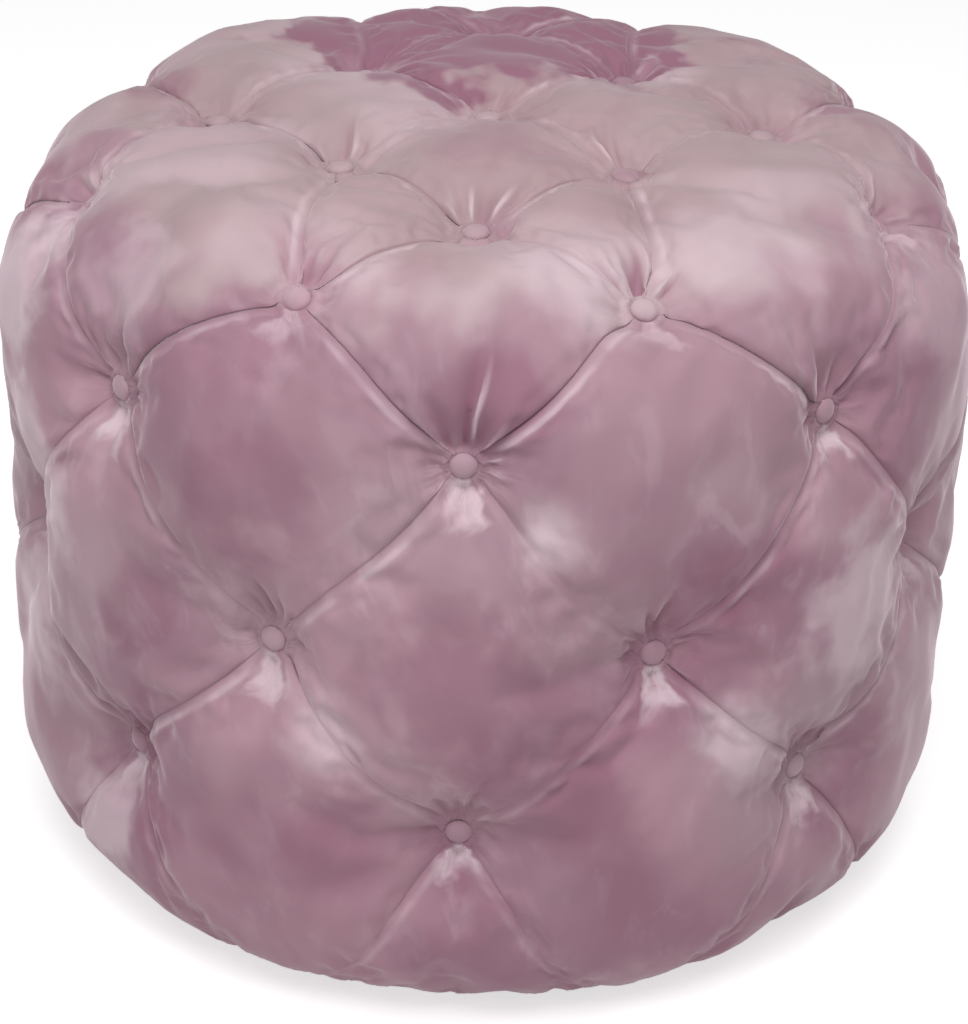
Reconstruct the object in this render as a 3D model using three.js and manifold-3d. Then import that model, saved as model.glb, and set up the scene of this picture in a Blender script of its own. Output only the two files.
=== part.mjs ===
// Round tuffet, deep buttoned over its whole top and side: a plywood drum, foam, a padded velvet
// cover joined in its pleats, and covered buttons tied through to the drum. Millimetres, +Z up.
import * as THREE from 'three';
import { mergeVertices } from 'three/addons/utils/BufferGeometryUtils.js';
import Module from 'manifold-3d';

const fullTurn = 2 * Math.PI;
const halfTurn = fullTurn / 2;
const quarterTurn = fullTurn / 4;

// Outer shape, over the crowns of the pillows
const crownRadius = 278;
const overallHeight = 450;
const domeRadius = 1700;
const shoulderRadius = 98;
const footRise = 88;

// Fits
const gap = 0.3;
const cutOverrun = 2;
const mergeDistance = 0.001;

// Foam and drum
const sideFoamThickness = 61;
const topFoamThickness = 64;
const footLap = 1;
const wallThickness = 4;
const boardThickness = 15;
const postWidth = 28;
const postCount = 4;
const postTurn = fullTurn / 32;
const drumSides = 40;

// Cover, dust cover and glides
const coverThickness = 1.5;
const joinEase = 0.25;
const hemWidth = 36;
const dustCoverThickness = 0.8;
const dustCoverMargin = 8;
const glideRadius = 14;
const glideHeight = 5;
const glideChamfer = 1.5;
const glideNailRadius = 1.6;
const glideNailLength = 13;
const glideInset = 52;
const glideCount = 4;
const glideSides = 14;

// Buttons: the grid on the top, the ring on the rim and three rings down the side
const rimPastDrum = 19.5;
const rimToGrid = 82;
const upperButtonDrop = 103;
const lowerButtonHeight = 129;
const middleButtonShare = 0.47;
const topButtonDepth = 17;
const sideButtonDepth = 24;
const topPleatDepth = 10;
const sidePleatDepth = 5.5;
const seatRadius = 12;
const seatReach = 14;
const riseReach = 34;
const buttonRadius = 7.5;
const buttonHeight = 4.2;
const buttonEdge = 1.1;
const twineRadius = 0.7;
const toggleRadius = 5;
const toggleThickness = 2;
const boreClearance = 0.3;
const coverHoleRadius = 2;
const buttonSides = 8;
const domeSteps = 2;
const boreSides = 4;

// Columns round the side, and how a pillow rises from its pleats
const columns = 8;
const footRing = 5;
const columnAngle = fullTurn / columns;
const seatShare = 0.075;
const quarterShare = 0.25;
const halfShare = 0.5;
const pleatEase = 2;
const pillowFullness = 0.5;
const skinShares = [0, seatShare, quarterShare, halfShare];
const backShares = [0, seatShare, halfShare];
const holeShare = seatShare * coverHoleRadius / seatRadius;

// Sizes that follow from the ones above
const drumRadius = crownRadius - sideFoamThickness;
const footInset = sideFoamThickness - footLap;
const dustCoverBottom = glideHeight + gap;
const coverBottom = dustCoverBottom + dustCoverThickness + gap;
const drumBottom = coverBottom + coverThickness + gap;
const drumTop = overallHeight - topFoamThickness;

// The crown profile: a dome, a round shoulder, an upright wall and an oval foot
const shoulderStart = crownRadius - shoulderRadius;
const domeAngle = Math.asin(shoulderStart / (domeRadius - shoulderRadius));
const domeRun = domeRadius * domeAngle;
const shoulderRun = shoulderRadius * (quarterTurn - domeAngle);
const shoulderCentre = overallHeight - domeRadius + (domeRadius - shoulderRadius) * Math.cos(domeAngle);
const footTop = coverBottom + footRise;
const wallRun = shoulderCentre - footTop;
const footRun = (footInset + footRise) / 2 * quarterTurn;
const footStart = domeRun + shoulderRun + wallRun;
const hemStart = footStart + footRun;

// Where the rings and the grid of buttons lie
const rimButtonRun = drumRadius + rimPastDrum;
const gridSpacing = (rimButtonRun - rimToGrid) / 2;
const upperButtonHeight = overallHeight - upperButtonDrop;
const middleButtonHeight = lowerButtonHeight + middleButtonShare * (upperButtonHeight - lowerButtonHeight);

// A point of the profile and its outward normal, at a run measured down from the top centre
function crownAt(run) {
  if (run <= domeRun) {
    const t = run / domeRadius;
    return {
      r: domeRadius * Math.sin(t),
      z: overallHeight - domeRadius * (1 - Math.cos(t)),
      nr: Math.sin(t),
      nz: Math.cos(t),
    };
  }
  if (run <= domeRun + shoulderRun) {
    const t = domeAngle + (run - domeRun) / shoulderRadius;
    return {
      r: shoulderStart + shoulderRadius * Math.sin(t),
      z: shoulderCentre + shoulderRadius * Math.cos(t),
      nr: Math.sin(t),
      nz: Math.cos(t),
    };
  }
  if (run <= footStart) {
    return { r: crownRadius, z: shoulderCentre - (run - domeRun - shoulderRun), nr: 1, nz: 0 };
  }
  if (run <= hemStart) {
    const t = (run - footStart) / footRun * quarterTurn;
    const nr = Math.cos(t) / footInset;
    const nz = -Math.sin(t) / footRise;
    const length = Math.hypot(nr, nz);
    return {
      r: crownRadius - footInset * (1 - Math.cos(t)),
      z: footTop - footRise * Math.sin(t),
      nr: nr / length,
      nz: nz / length,
    };
  }
  return { r: crownRadius - footInset - (run - hemStart), z: coverBottom, nr: 0, nz: -1 };
}

// The chart is the profile run as a radius in plan; angle 0 faces -Y and grows towards +X
function chartPoint(run, angle) {
  return new THREE.Vector2(run * Math.sin(angle), -run * Math.cos(angle));
}

function surfacePoint(chart, depth) {
  const angle = Math.atan2(chart.x, -chart.y);
  const { r, z, nr, nz } = crownAt(chart.length());
  const radius = r - nr * depth;
  return new THREE.Vector3(radius * Math.sin(angle), -radius * Math.cos(angle), z - nz * depth);
}

// Knots: the places where pleats meet, each at a button or at the foot line
const sideRuns = [
  rimButtonRun,
  ...[upperButtonHeight, middleButtonHeight, lowerButtonHeight].map(
    (height) => domeRun + shoulderRun + shoulderCentre - height,
  ),
  hemStart,
];

function ringKnot(ring, step) {
  const onGrid = ring === 0;
  const run = onGrid
    ? gridSpacing * (step % 2 === 0 ? 2 : Math.SQRT2)
    : sideRuns[ring - 1];
  return {
    run,
    angle: step * columnAngle / (onGrid ? 1 : 2),
    onTop: onGrid || ring === 1,
    onGrid,
    seat: ring === footRing ? 0 : onGrid || ring === 1 ? topButtonDepth : sideButtonDepth,
    ring,
    step,
  };
}

const centreKnot = { ...ringKnot(0, 0), run: 0, step: 'centre' };

// Pillows, as the knots round each one, anticlockwise seen from outside
function topPillows() {
  const pillows = [];
  for (let quarter = 0; quarter < columns / 2; quarter++) {
    const corner = 2 * quarter;
    pillows.push([centreKnot, ringKnot(0, corner - 1), ringKnot(0, corner), ringKnot(0, corner + 1)]);
    pillows.push([
      ringKnot(0, corner),
      ringKnot(1, 2 * corner - 1),
      ringKnot(2, 2 * corner),
      ringKnot(1, 2 * corner + 1),
    ]);
    const diagonal = corner + 1;
    const before = [ringKnot(0, diagonal - 1), ringKnot(1, 2 * diagonal - 1)];
    const after = [ringKnot(1, 2 * diagonal + 1), ringKnot(0, diagonal + 1)];
    const outer = ringKnot(2, 2 * diagonal);
    const middle = ringKnot(0, diagonal);
    if (quarter % 2 === 0) {
      pillows.push([middle, before[0], before[1]], [middle, before[1], outer, ...after]);
    } else {
      pillows.push([middle, ...after], [middle, ...before, outer, after[0]]);
    }
  }
  return pillows;
}

function sidePillows(column) {
  const step = 2 * column;
  return [
    [ringKnot(1, step + 1), ringKnot(2, step), ringKnot(3, step + 1), ringKnot(2, step + 2)],
    [ringKnot(2, step), ringKnot(3, step - 1), ringKnot(4, step), ringKnot(3, step + 1)],
    [ringKnot(3, step + 1), ringKnot(4, step), ringKnot(footRing, step + 1), ringKnot(4, step + 2)],
    [ringKnot(4, step), ringKnot(footRing, step - 1), ringKnot(footRing, step + 1)],
  ];
}

// A pleat runs straight in plan where it ends on the grid, and otherwise straight down the side
function pleatPoint(from, to, share) {
  const start = chartPoint(from.run, from.angle);
  const end = chartPoint(to.run, to.angle);
  const seat = seatRadius / start.distanceTo(end);
  const along = share < seatShare
    ? share / seatShare * seat
    : share > 1 - seatShare
      ? 1 - (1 - share) / seatShare * seat
      : seat + (share - seatShare) / (1 - 2 * seatShare) * (1 - 2 * seat);
  if (from.onGrid || to.onGrid) return start.lerp(end, along);
  return chartPoint(
    THREE.MathUtils.lerp(from.run, to.run, along),
    THREE.MathUtils.lerp(from.angle, to.angle, along),
  );
}

// How deep the middle of a pleat lies
function pleatDepth(from, to) {
  const depthAt = ({ ring, onTop }) => {
    if (ring === footRing) return 0;
    return onTop ? topPleatDepth : sidePleatDepth;
  };
  return (depthAt(from) + depthAt(to)) / 2;
}

// Depth at a distance from a knot, at shares a and b along its two pleats: flat under the button,
// shallower towards the middle of each pleat, and rising to the crown between them
function pillowDepth(seat, pleatA, pleatB, a, b, distance) {
  const ease = (share) => {
    const past = Math.max(0, share - seatShare) / (halfShare - seatShare);
    return (1 - past) ** pleatEase;
  };
  const alongA = pleatA + (seat - pleatA) * ease(a);
  const alongB = pleatB + (seat - pleatB) * ease(b);
  const weightA = (halfShare ** 2 - b ** 2) * a ** 2;
  const weightB = (halfShare ** 2 - a ** 2) * b ** 2;
  const weight = weightA + weightB;
  const crease = weight > 0 ? (alongA * weightA + alongB * weightB) / weight : seat;
  const past = (Math.max(a, b) - seatShare) / (quarterShare - seatShare);
  const clear = (distance - seatReach) / (riseReach - seatReach);
  const free = THREE.MathUtils.clamp(Math.min(past, clear), 0, 1);
  const rise = (16 * a * (1 - a) * b * (1 - b)) ** pillowFullness * free;
  return crease * (1 - rise);
}

// The edge of the twine hole under a button, from one pleat of a pillow to the other
function holeEdge(knots, i, extraDepth) {
  const knot = knots[i];
  const corner = pleatPoint(knot, knots[(i + 1) % knots.length], 0);
  const first = pleatPoint(knot, knots[(i + 1) % knots.length], holeShare);
  const last = pleatPoint(knot, knots[(i + knots.length - 1) % knots.length], holeShare);
  const between = first.clone().add(last).sub(corner).sub(corner).setLength(coverHoleRadius).add(corner);
  return [first, between, last].map((point) => surfacePoint(point, knot.seat + extraDepth));
}

// One pillow as triangles: each knot has a quarter, spanned by its two half pleats and the centre
function pillowTriangles(knots, shares, extraDepth, holed = false) {
  const count = knots.length;
  const centre = new THREE.Vector2();
  for (let i = 0; i < count; i++) {
    centre.add(pleatPoint(knots[i], knots[(i + 1) % count], halfShare));
  }
  centre.divideScalar(count);
  const triangles = [];
  for (let i = 0; i < count; i++) {
    const knot = knots[i];
    const next = knots[(i + 1) % count];
    const last = knots[(i + count - 1) % count];
    const corner = pleatPoint(knot, next, 0);
    const middleA = pleatPoint(knot, next, halfShare);
    const middleB = pleatPoint(knot, last, halfShare);
    const grid = shares.map((a) => shares.map((b) => {
      const u = a / halfShare;
      const v = b / halfShare;
      const point = pleatPoint(knot, next, a).multiplyScalar(1 - v)
        .addScaledVector(middleB.clone().lerp(centre, u), v)
        .addScaledVector(pleatPoint(knot, last, b), 1 - u)
        .addScaledVector(middleA.clone().lerp(centre, v), u)
        .addScaledVector(corner, -(1 - u) * (1 - v))
        .addScaledVector(middleA, -u * (1 - v))
        .addScaledVector(middleB, -(1 - u) * v)
        .addScaledVector(centre, -u * v);
      const offset = point.clone().sub(corner);
      const pleats = [pleatDepth(knot, next), pleatDepth(knot, last)];
      const depth = pillowDepth(knot.seat, ...pleats, a, b, offset.length());
      if (a === seatShare && b === seatShare && offset.length() < seatReach) {
        point.copy(corner).add(offset.setLength(seatReach));
      }
      return surfacePoint(point, depth + extraDepth);
    }));
    for (let j = 0; j + 1 < shares.length; j++) {
      for (let k = 0; k + 1 < shares.length; k++) {
        const [p, q, r, s] = [grid[j][k], grid[j + 1][k], grid[j + 1][k + 1], grid[j][k + 1]];
        if (j + k > 0 || !holed || knot.ring === footRing) {
          triangles.push([p, q, r], [p, r, s]);
        } else {
          const [first, between, second] = holeEdge(knots, i, extraDepth);
          triangles.push([first, q, r], [first, r, between], [between, r, second], [second, r, s]);
        }
      }
    }
  }
  return triangles;
}

// The points along one pleat, from knot to knot
function pleatLine(from, to, shares, extraDepth, holed = false) {
  const start = holed && from.ring !== footRing ? holeShare : 0;
  const end = holed && to.ring !== footRing ? holeShare : 0;
  const inner = shares.slice(1);
  const both = [start, ...inner, ...inner.slice(0, -1).reverse().map((share) => 1 - share), 1 - end];
  return both.map((share) => {
    const near = share <= halfShare;
    const seat = near ? from.seat : to.seat;
    const depth = pillowDepth(seat, pleatDepth(from, to), 0, near ? share : 1 - share, 0, 0);
    return { share, point: surfacePoint(pleatPoint(from, to, share), depth + extraDepth) };
  });
}

// Triangles that close the edge between two lines whose ends match
function rimTriangles(skin, back) {
  const triangles = [];
  let i = 0;
  let j = 0;
  while (i + 1 < skin.length || j + 1 < back.length) {
    const nextSkin = skin[i + 1]?.share ?? Infinity;
    const nextBack = back[j + 1]?.share ?? Infinity;
    if (nextSkin <= nextBack) {
      triangles.push([skin[i].point, back[j].point, skin[i + 1].point]);
      i += 1;
    } else {
      triangles.push([skin[i].point, back[j].point, back[j + 1].point]);
      j += 1;
    }
  }
  return triangles;
}

function knotName({ ring, step }) {
  if (step === 'centre') return step;
  const turn = ring === 0 ? columns : 2 * columns;
  return `${ring}:${(step + turn) % turn}`;
}

// The edges that only one pillow of a panel has
function panelEdges(pillows) {
  const edges = new Map();
  for (const knots of pillows) {
    knots.forEach((knot, i) => {
      const next = knots[(i + 1) % knots.length];
      edges.set(`${knotName(knot)} ${knotName(next)}`, [knot, next]);
    });
  }
  return [...edges.values()].filter(([a, b]) => !edges.has(`${knotName(b)} ${knotName(a)}`));
}

// The hem: the cover turned flat under the drum, inwards from the foot line
function hemLine(from, to, shares, extraDepth) {
  return pleatLine(from, to, shares, extraDepth).map(({ share }) => {
    const angle = Math.atan2(pleatPoint(from, to, share).x, -pleatPoint(from, to, share).y);
    return { share, point: surfacePoint(chartPoint(hemStart + hemWidth, angle), extraDepth) };
  });
}

function stripTriangles(upper, lower) {
  const triangles = [];
  for (let i = 0; i + 1 < upper.length; i++) {
    triangles.push([upper[i].point, lower[i].point, lower[i + 1].point]);
    triangles.push([upper[i].point, lower[i + 1].point, upper[i + 1].point]);
  }
  return triangles;
}

const turned = (triangles) => triangles.map(([a, b, c]) => [a, c, b]);

function geometryFrom(triangles) {
  const points = triangles.flat().flatMap((point) => point.toArray());
  const geometry = new THREE.BufferGeometry();
  geometry.setAttribute('position', new THREE.Float32BufferAttribute(points, 3));
  return geometry;
}

// A panel of the cover: velvet outside, wadding inside, a closed edge all round
function coverPanel(pillows) {
  const triangles = [];
  for (const knots of pillows) {
    triangles.push(...pillowTriangles(knots, skinShares, 0, true));
    triangles.push(...turned(pillowTriangles(knots, backShares, coverThickness, true)));
    knots.forEach((knot, i) => {
      if (knot.ring === footRing) return;
      const skin = holeEdge(knots, i, 0);
      const back = holeEdge(knots, i, coverThickness);
      for (let j = 0; j + 1 < skin.length; j++) {
        triangles.push([skin[j], skin[j + 1], back[j + 1]], [skin[j], back[j + 1], back[j]]);
      }
    });
  }
  for (const [from, to] of panelEdges(pillows)) {
    const upwards = from.ring > to.ring;
    const ends = upwards ? [to, from] : [from, to];
    const skin = pleatLine(...ends, skinShares, 0, true);
    const back = pleatLine(...ends, backShares, coverThickness, true);
    if (from.ring !== footRing || to.ring !== footRing) {
      const rim = rimTriangles(skin, back);
      triangles.push(...(upwards ? turned(rim) : rim));
      continue;
    }
    const skinHem = hemLine(from, to, skinShares, 0);
    const backHem = hemLine(from, to, backShares, coverThickness);
    triangles.push(...stripTriangles(skin, skinHem));
    triangles.push(...turned(stripTriangles(back, backHem)));
    triangles.push(...rimTriangles(skinHem, backHem));
    for (const [end, at] of [[from, 0], [to, skin.length - 1]]) {
      if (!end.open) continue;
      const backAt = at === 0 ? 0 : back.length - 1;
      const side = [
        [skin[at].point, back[backAt].point, backHem[backAt].point],
        [skin[at].point, backHem[backAt].point, skinHem[at].point],
      ];
      triangles.push(...(at === 0 ? side : turned(side)));
    }
  }
  return geometryFrom(triangles);
}

// Panels stand a little back from the pleats in which they are joined
function aside(knots, runShift, angleShift) {
  return knots.map((knot) => {
    const onJoin = knot.ring === 1 || knot.ring === 2;
    const turn = angleShift(knot);
    const run = knot.run + (onJoin ? runShift : 0);
    return { ...knot, run, angle: knot.angle + turn, open: turn !== 0 };
  });
}

function topPanelPillows() {
  return topPillows().map((knots) => aside(knots, -joinEase, () => 0));
}

// Half of the side: its ends follow the pleats at its first and last column
function sidePanelPillows(firstColumn) {
  const half = columns / 2;
  const ends = [2 * firstColumn, 2 * (firstColumn + half)];
  const angleShift = (knot) => {
    if (knot.ring < 2) return 0;
    const odd = knot.ring % 2;
    const radius = crownRadius - sideButtonDepth;
    if (knot.step === ends[0] + odd) return joinEase / radius;
    if (knot.step === ends[1] + odd) return -joinEase / radius;
    return 0;
  };
  const pillows = [];
  for (let i = 0; i < half; i++) {
    const [upper, middle, lower, foot] = sidePillows(firstColumn + i);
    const [, nextMiddle, , nextFoot] = sidePillows(firstColumn + i + 1);
    pillows.push(upper, lower, nextMiddle, nextFoot);
  }
  return pillows.map((knots) => aside(knots, joinEase, angleShift));
}

// Solids: joined, cut and turned back into geometry
const manifold = await Module();
manifold.setup();

function solidFrom(geometry) {
  const bare = geometry.clone();
  bare.deleteAttribute('normal');
  bare.deleteAttribute('uv');
  const merged = mergeVertices(bare.index ? bare.toNonIndexed() : bare, mergeDistance);
  return new manifold.Manifold(new manifold.Mesh({
    numProp: 3,
    vertProperties: new Float32Array(merged.attributes.position.array),
    triVerts: new Uint32Array(merged.index.array),
  }));
}

function geometryOf(solid) {
  const mesh = solid.getMesh();
  const geometry = new THREE.BufferGeometry();
  geometry.setAttribute('position', new THREE.BufferAttribute(new Float32Array(mesh.vertProperties), 3));
  geometry.setIndex(new THREE.BufferAttribute(new Uint32Array(mesh.triVerts), 1));
  return geometry;
}

// An upright cylinder between two heights, with a corner of its outline on the -Y side
function uprightCylinder(radius, bottom, top, sides) {
  const geometry = new THREE.CylinderGeometry(radius, radius, top - bottom, sides);
  geometry.rotateX(quarterTurn);
  geometry.translate(0, 0, (top + bottom) / 2);
  return geometry;
}

// Where each button sits: the seat, its outward direction, and how far its twine reaches
function buttonPlace(knot) {
  const { r, z, nr, nz } = crownAt(knot.run);
  const seatR = r - nr * knot.seat;
  const seatZ = z - nz * knot.seat;
  const outward = new THREE.Vector3(nr * Math.sin(knot.angle), -nr * Math.cos(knot.angle), nz);
  const seat = new THREE.Vector3(seatR * Math.sin(knot.angle), -seatR * Math.cos(knot.angle), seatZ);
  const reach = knot.onTop
    ? (seatZ - (drumTop - boardThickness) + toggleRadius * nr + gap) / nz
    : (seatR - (drumRadius - wallThickness) * Math.cos(halfTurn / drumSides) + gap) / nr;
  return { seat, outward, reach };
}

const buttonKnots = { top_centre: centreKnot };
for (let i = 0; i < columns; i++) {
  buttonKnots[`top_${i + 1}`] = ringKnot(0, i);
  buttonKnots[`rim_${i + 1}`] = ringKnot(1, 2 * i + 1);
  buttonKnots[`upper_${i + 1}`] = ringKnot(2, 2 * i);
  buttonKnots[`middle_${i + 1}`] = ringKnot(3, 2 * i + 1);
  buttonKnots[`lower_${i + 1}`] = ringKnot(4, 2 * i);
}

function placed(geometry, { seat, outward }) {
  const turn = new THREE.Quaternion().setFromUnitVectors(new THREE.Vector3(0, 0, 1), outward);
  geometry.applyQuaternion(turn);
  geometry.translate(seat.x, seat.y, seat.z);
  return geometry;
}

// The bores for the twines of the chosen buttons, cut through a piece
function pierced(geometry, chosen = () => true) {
  const radius = (twineRadius + boreClearance) / Math.cos(halfTurn / boreSides);
  const bores = Object.values(buttonKnots).filter(chosen).map((knot) => {
    const place = buttonPlace(knot);
    const bore = uprightCylinder(radius, -place.reach - cutOverrun, cutOverrun, boreSides);
    return solidFrom(placed(bore, place));
  });
  const cutter = bores.reduce((all, bore) => all.add(bore));
  return geometryOf(solidFrom(geometry).subtract(cutter));
}

// A covered button with its twine, and the toggle that holds the twine inside the drum
function buttonGeometry(place) {
  const profile = [
    new THREE.Vector2(0, -place.reach - toggleThickness),
    new THREE.Vector2(toggleRadius, -place.reach - toggleThickness),
    new THREE.Vector2(toggleRadius, -place.reach),
    new THREE.Vector2(twineRadius, -place.reach),
    new THREE.Vector2(twineRadius, gap),
    new THREE.Vector2(buttonRadius - buttonEdge, gap),
  ];
  for (let i = 0; i <= domeSteps; i++) {
    const t = i / domeSteps * quarterTurn;
    profile.push(new THREE.Vector2(
      i === domeSteps ? 0 : buttonRadius * Math.cos(t),
      gap + buttonEdge + (buttonHeight - buttonEdge) * Math.sin(t),
    ));
  }
  const geometry = new THREE.LatheGeometry(profile, buttonSides);
  geometry.rotateX(quarterTurn);
  return placed(geometry, place);
}

// Foam: one tufted block over the drum, cut into a side ring and a top pad
function foamBlock() {
  const depth = coverThickness + gap;
  const round = Array.from({ length: columns }, (_, column) => sidePillows(column)).flat();
  const pillows = [...topPillows(), ...round];
  const triangles = pillows.flatMap((knots) => pillowTriangles(knots, backShares, depth));
  const underside = new THREE.Vector3(0, 0, drumBottom);
  for (const [from, to] of panelEdges(round)) {
    if (from.ring !== footRing || to.ring !== footRing) continue;
    const line = pleatLine(from, to, backShares, depth);
    for (let i = 0; i + 1 < line.length; i++) {
      triangles.push([line[i].point, underside, line[i + 1].point]);
    }
  }
  return solidFrom(geometryFrom(triangles));
}

function topFoam() {
  const below = uprightCylinder(crownRadius + cutOverrun, -cutOverrun, drumTop + gap, drumSides);
  return pierced(geometryOf(foamBlock().subtract(solidFrom(below))), (knot) => knot.onTop);
}

function sideFoam() {
  const above = uprightCylinder(crownRadius + cutOverrun, drumTop, overallHeight + cutOverrun, drumSides);
  const core = uprightCylinder(drumRadius + gap, -cutOverrun, drumTop + cutOverrun, drumSides);
  const block = foamBlock().subtract(solidFrom(above)).subtract(solidFrom(core));
  return pierced(geometryOf(block), (knot) => !knot.onTop);
}

// Flat round boards, with round holes at the given places
function boardGeometry(radius, bottom, thickness, holes, holeRadius) {
  const outline = Array.from({ length: drumSides }, (_, i) => chartPoint(radius, i / drumSides * fullTurn));
  const shape = new THREE.Shape(outline);
  for (const { x, y } of holes) {
    const hole = new THREE.Path();
    hole.absarc(x, y, holeRadius, 0, fullTurn, true);
    shape.holes.push(hole);
  }
  const geometry = new THREE.ExtrudeGeometry(shape, {
    depth: thickness,
    bevelEnabled: false,
    curveSegments: boreSides,
  });
  geometry.translate(0, 0, bottom);
  return geometry;
}

// The glides stand under the drum's edge, each on its own nail
const glidePlaces = Array.from({ length: glideCount }, (_, i) => {
  return chartPoint(drumRadius - glideInset, (i + halfShare) / glideCount * fullTurn);
});

function glideGeometry({ x, y }) {
  const profile = [
    new THREE.Vector2(0, 0),
    new THREE.Vector2(glideRadius - glideChamfer, 0),
    new THREE.Vector2(glideRadius, glideChamfer),
    new THREE.Vector2(glideRadius, glideHeight),
    new THREE.Vector2(glideNailRadius, glideHeight),
    new THREE.Vector2(glideNailRadius, glideHeight + glideNailLength),
    new THREE.Vector2(0, glideHeight + glideNailLength),
  ];
  const geometry = new THREE.LatheGeometry(profile, glideSides);
  geometry.rotateX(quarterTurn);
  geometry.translate(x, y, 0);
  return geometry;
}

// The drum: two boards, posts between them, and a thin wall bent round both
const boardRadius = drumRadius - wallThickness - gap;
const nailHoleRadius = glideNailRadius + gap;

function drumWall() {
  const inner = drumRadius - wallThickness;
  const profile = [
    new THREE.Vector2(inner, drumBottom),
    new THREE.Vector2(drumRadius, drumBottom),
    new THREE.Vector2(drumRadius, drumTop),
    new THREE.Vector2(inner, drumTop),
    new THREE.Vector2(inner, drumBottom),
  ];
  const geometry = new THREE.LatheGeometry(profile, drumSides);
  geometry.rotateX(quarterTurn);
  return pierced(geometry, (knot) => !knot.onTop);
}

function topBoard() {
  const board = boardGeometry(boardRadius, drumTop - boardThickness, boardThickness, [], 0);
  return pierced(board, (knot) => knot.onTop);
}

function postGeometry(index) {
  const bottom = drumBottom + boardThickness + gap;
  const top = drumTop - boardThickness - gap;
  const inner = boardRadius * Math.cos(halfTurn / drumSides);
  const reach = Math.sqrt((inner - gap) ** 2 - (postWidth / 2) ** 2);
  const geometry = new THREE.BoxGeometry(postWidth, postWidth, top - bottom);
  geometry.translate(0, postWidth / 2 - reach, (top + bottom) / 2);
  geometry.rotateZ(postTurn + index / postCount * fullTurn);
  return geometry;
}

// Materials
const velvet = { color: 0xb98f9c, roughness: 0.85, metalness: 0 };
const foam = { color: 0xe8e0c8, roughness: 1, metalness: 0 };
const plywood = { color: 0xc9a877, roughness: 0.7, metalness: 0 };
const pine = { color: 0xdabf8b, roughness: 0.75, metalness: 0 };
const hardboard = { color: 0x8a6a4a, roughness: 0.8, metalness: 0 };
const lining = { color: 0x1d1d1f, roughness: 0.95, metalness: 0 };
const glide = { color: 0x2b2a2a, roughness: 0.5, metalness: 0 };

const tuffet = new THREE.Group();

function addPiece(name, geometry, look) {
  const mesh = new THREE.Mesh(geometry, new THREE.MeshStandardMaterial(look));
  mesh.name = name;
  tuffet.add(mesh);
}

addPiece(
  'base_board',
  boardGeometry(boardRadius, drumBottom, boardThickness, glidePlaces, nailHoleRadius),
  plywood,
);
addPiece('top_board', topBoard(), plywood);
addPiece('drum_wall', drumWall(), hardboard);
for (let i = 0; i < postCount; i++) addPiece(`post_${i + 1}`, postGeometry(i), pine);
addPiece('side_foam', sideFoam(), foam);
addPiece('top_foam', topFoam(), foam);
addPiece('cover_top', coverPanel(topPanelPillows()), velvet);
addPiece('cover_side_front', coverPanel(sidePanelPillows(-columns / 4)), velvet);
addPiece('cover_side_back', coverPanel(sidePanelPillows(columns / 4)), velvet);
const dustCoverRadius = crownRadius - footInset - dustCoverMargin;
addPiece(
  'dust_cover',
  boardGeometry(dustCoverRadius, dustCoverBottom, dustCoverThickness, glidePlaces, nailHoleRadius),
  lining,
);
glidePlaces.forEach((place, i) => addPiece(`glide_${i + 1}`, glideGeometry(place), glide));
for (const [name, knot] of Object.entries(buttonKnots)) {
  addPiece(`button_${name}`, buttonGeometry(buttonPlace(knot)), velvet);
}

export default tuffet;
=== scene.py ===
import functools
import math
from collections import namedtuple

import bmesh
import bpy
import numpy as np
from mathutils import Matrix, Vector


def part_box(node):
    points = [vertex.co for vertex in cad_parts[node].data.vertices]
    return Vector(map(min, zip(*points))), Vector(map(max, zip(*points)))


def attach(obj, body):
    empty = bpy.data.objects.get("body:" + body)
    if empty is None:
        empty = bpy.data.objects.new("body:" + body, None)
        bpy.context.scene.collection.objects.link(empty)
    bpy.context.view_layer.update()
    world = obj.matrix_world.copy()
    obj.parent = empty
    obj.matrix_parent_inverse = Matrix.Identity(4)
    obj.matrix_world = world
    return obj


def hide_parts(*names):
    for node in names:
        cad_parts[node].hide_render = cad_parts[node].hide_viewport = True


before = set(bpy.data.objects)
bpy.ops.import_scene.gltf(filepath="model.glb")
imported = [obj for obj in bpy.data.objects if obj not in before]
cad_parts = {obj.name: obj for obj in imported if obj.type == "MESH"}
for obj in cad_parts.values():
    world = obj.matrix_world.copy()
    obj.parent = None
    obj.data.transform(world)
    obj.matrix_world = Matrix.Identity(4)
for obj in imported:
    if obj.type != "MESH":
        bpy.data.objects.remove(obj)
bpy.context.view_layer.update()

bl_info = {
    "name": "Buttoned tuffet",
    "version": (1, 0, 0),
    "blender": (4, 5, 0),
    "location": "3D View > Sidebar > Tuffet",
    "description": "Makes a round tuffet, deep buttoned in velvet, round its drum",
    "category": "Object",
}

MM = 0.001


def number(name, description, default, **more):
    """A plain number."""
    return bpy.props.FloatProperty(name=name, description=description, default=default, **more)


def length(name, description, default):
    """A length in metres, given in millimetres."""
    more = {"subtype": "DISTANCE", "unit": "LENGTH", "precision": 4}
    return number(name, description, default * MM, **more)


def share(name, description, default):
    """A number from 0 to 1."""
    return number(name, description, default, min=0.0, max=1.0, subtype="FACTOR")


def angle(name, description, degrees):
    """An angle, given in degrees."""
    return number(name, description, math.radians(degrees), subtype="ANGLE", unit="ROTATION")


def triple(name, description, default, **more):
    """Three numbers."""
    return bpy.props.FloatVectorProperty(
        name=name, description=description, default=default, size=3, **more)


def colour(name, description, default):
    """A colour, as linear red, green and blue."""
    return triple(name, description, default, min=0.0, max=1.0, subtype="COLOR")


def point(name, description, default):
    """A place in metres, given in millimetres."""
    place = [value * MM for value in default]
    return triple(name, description, place, subtype="TRANSLATION", unit="LENGTH")


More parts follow.
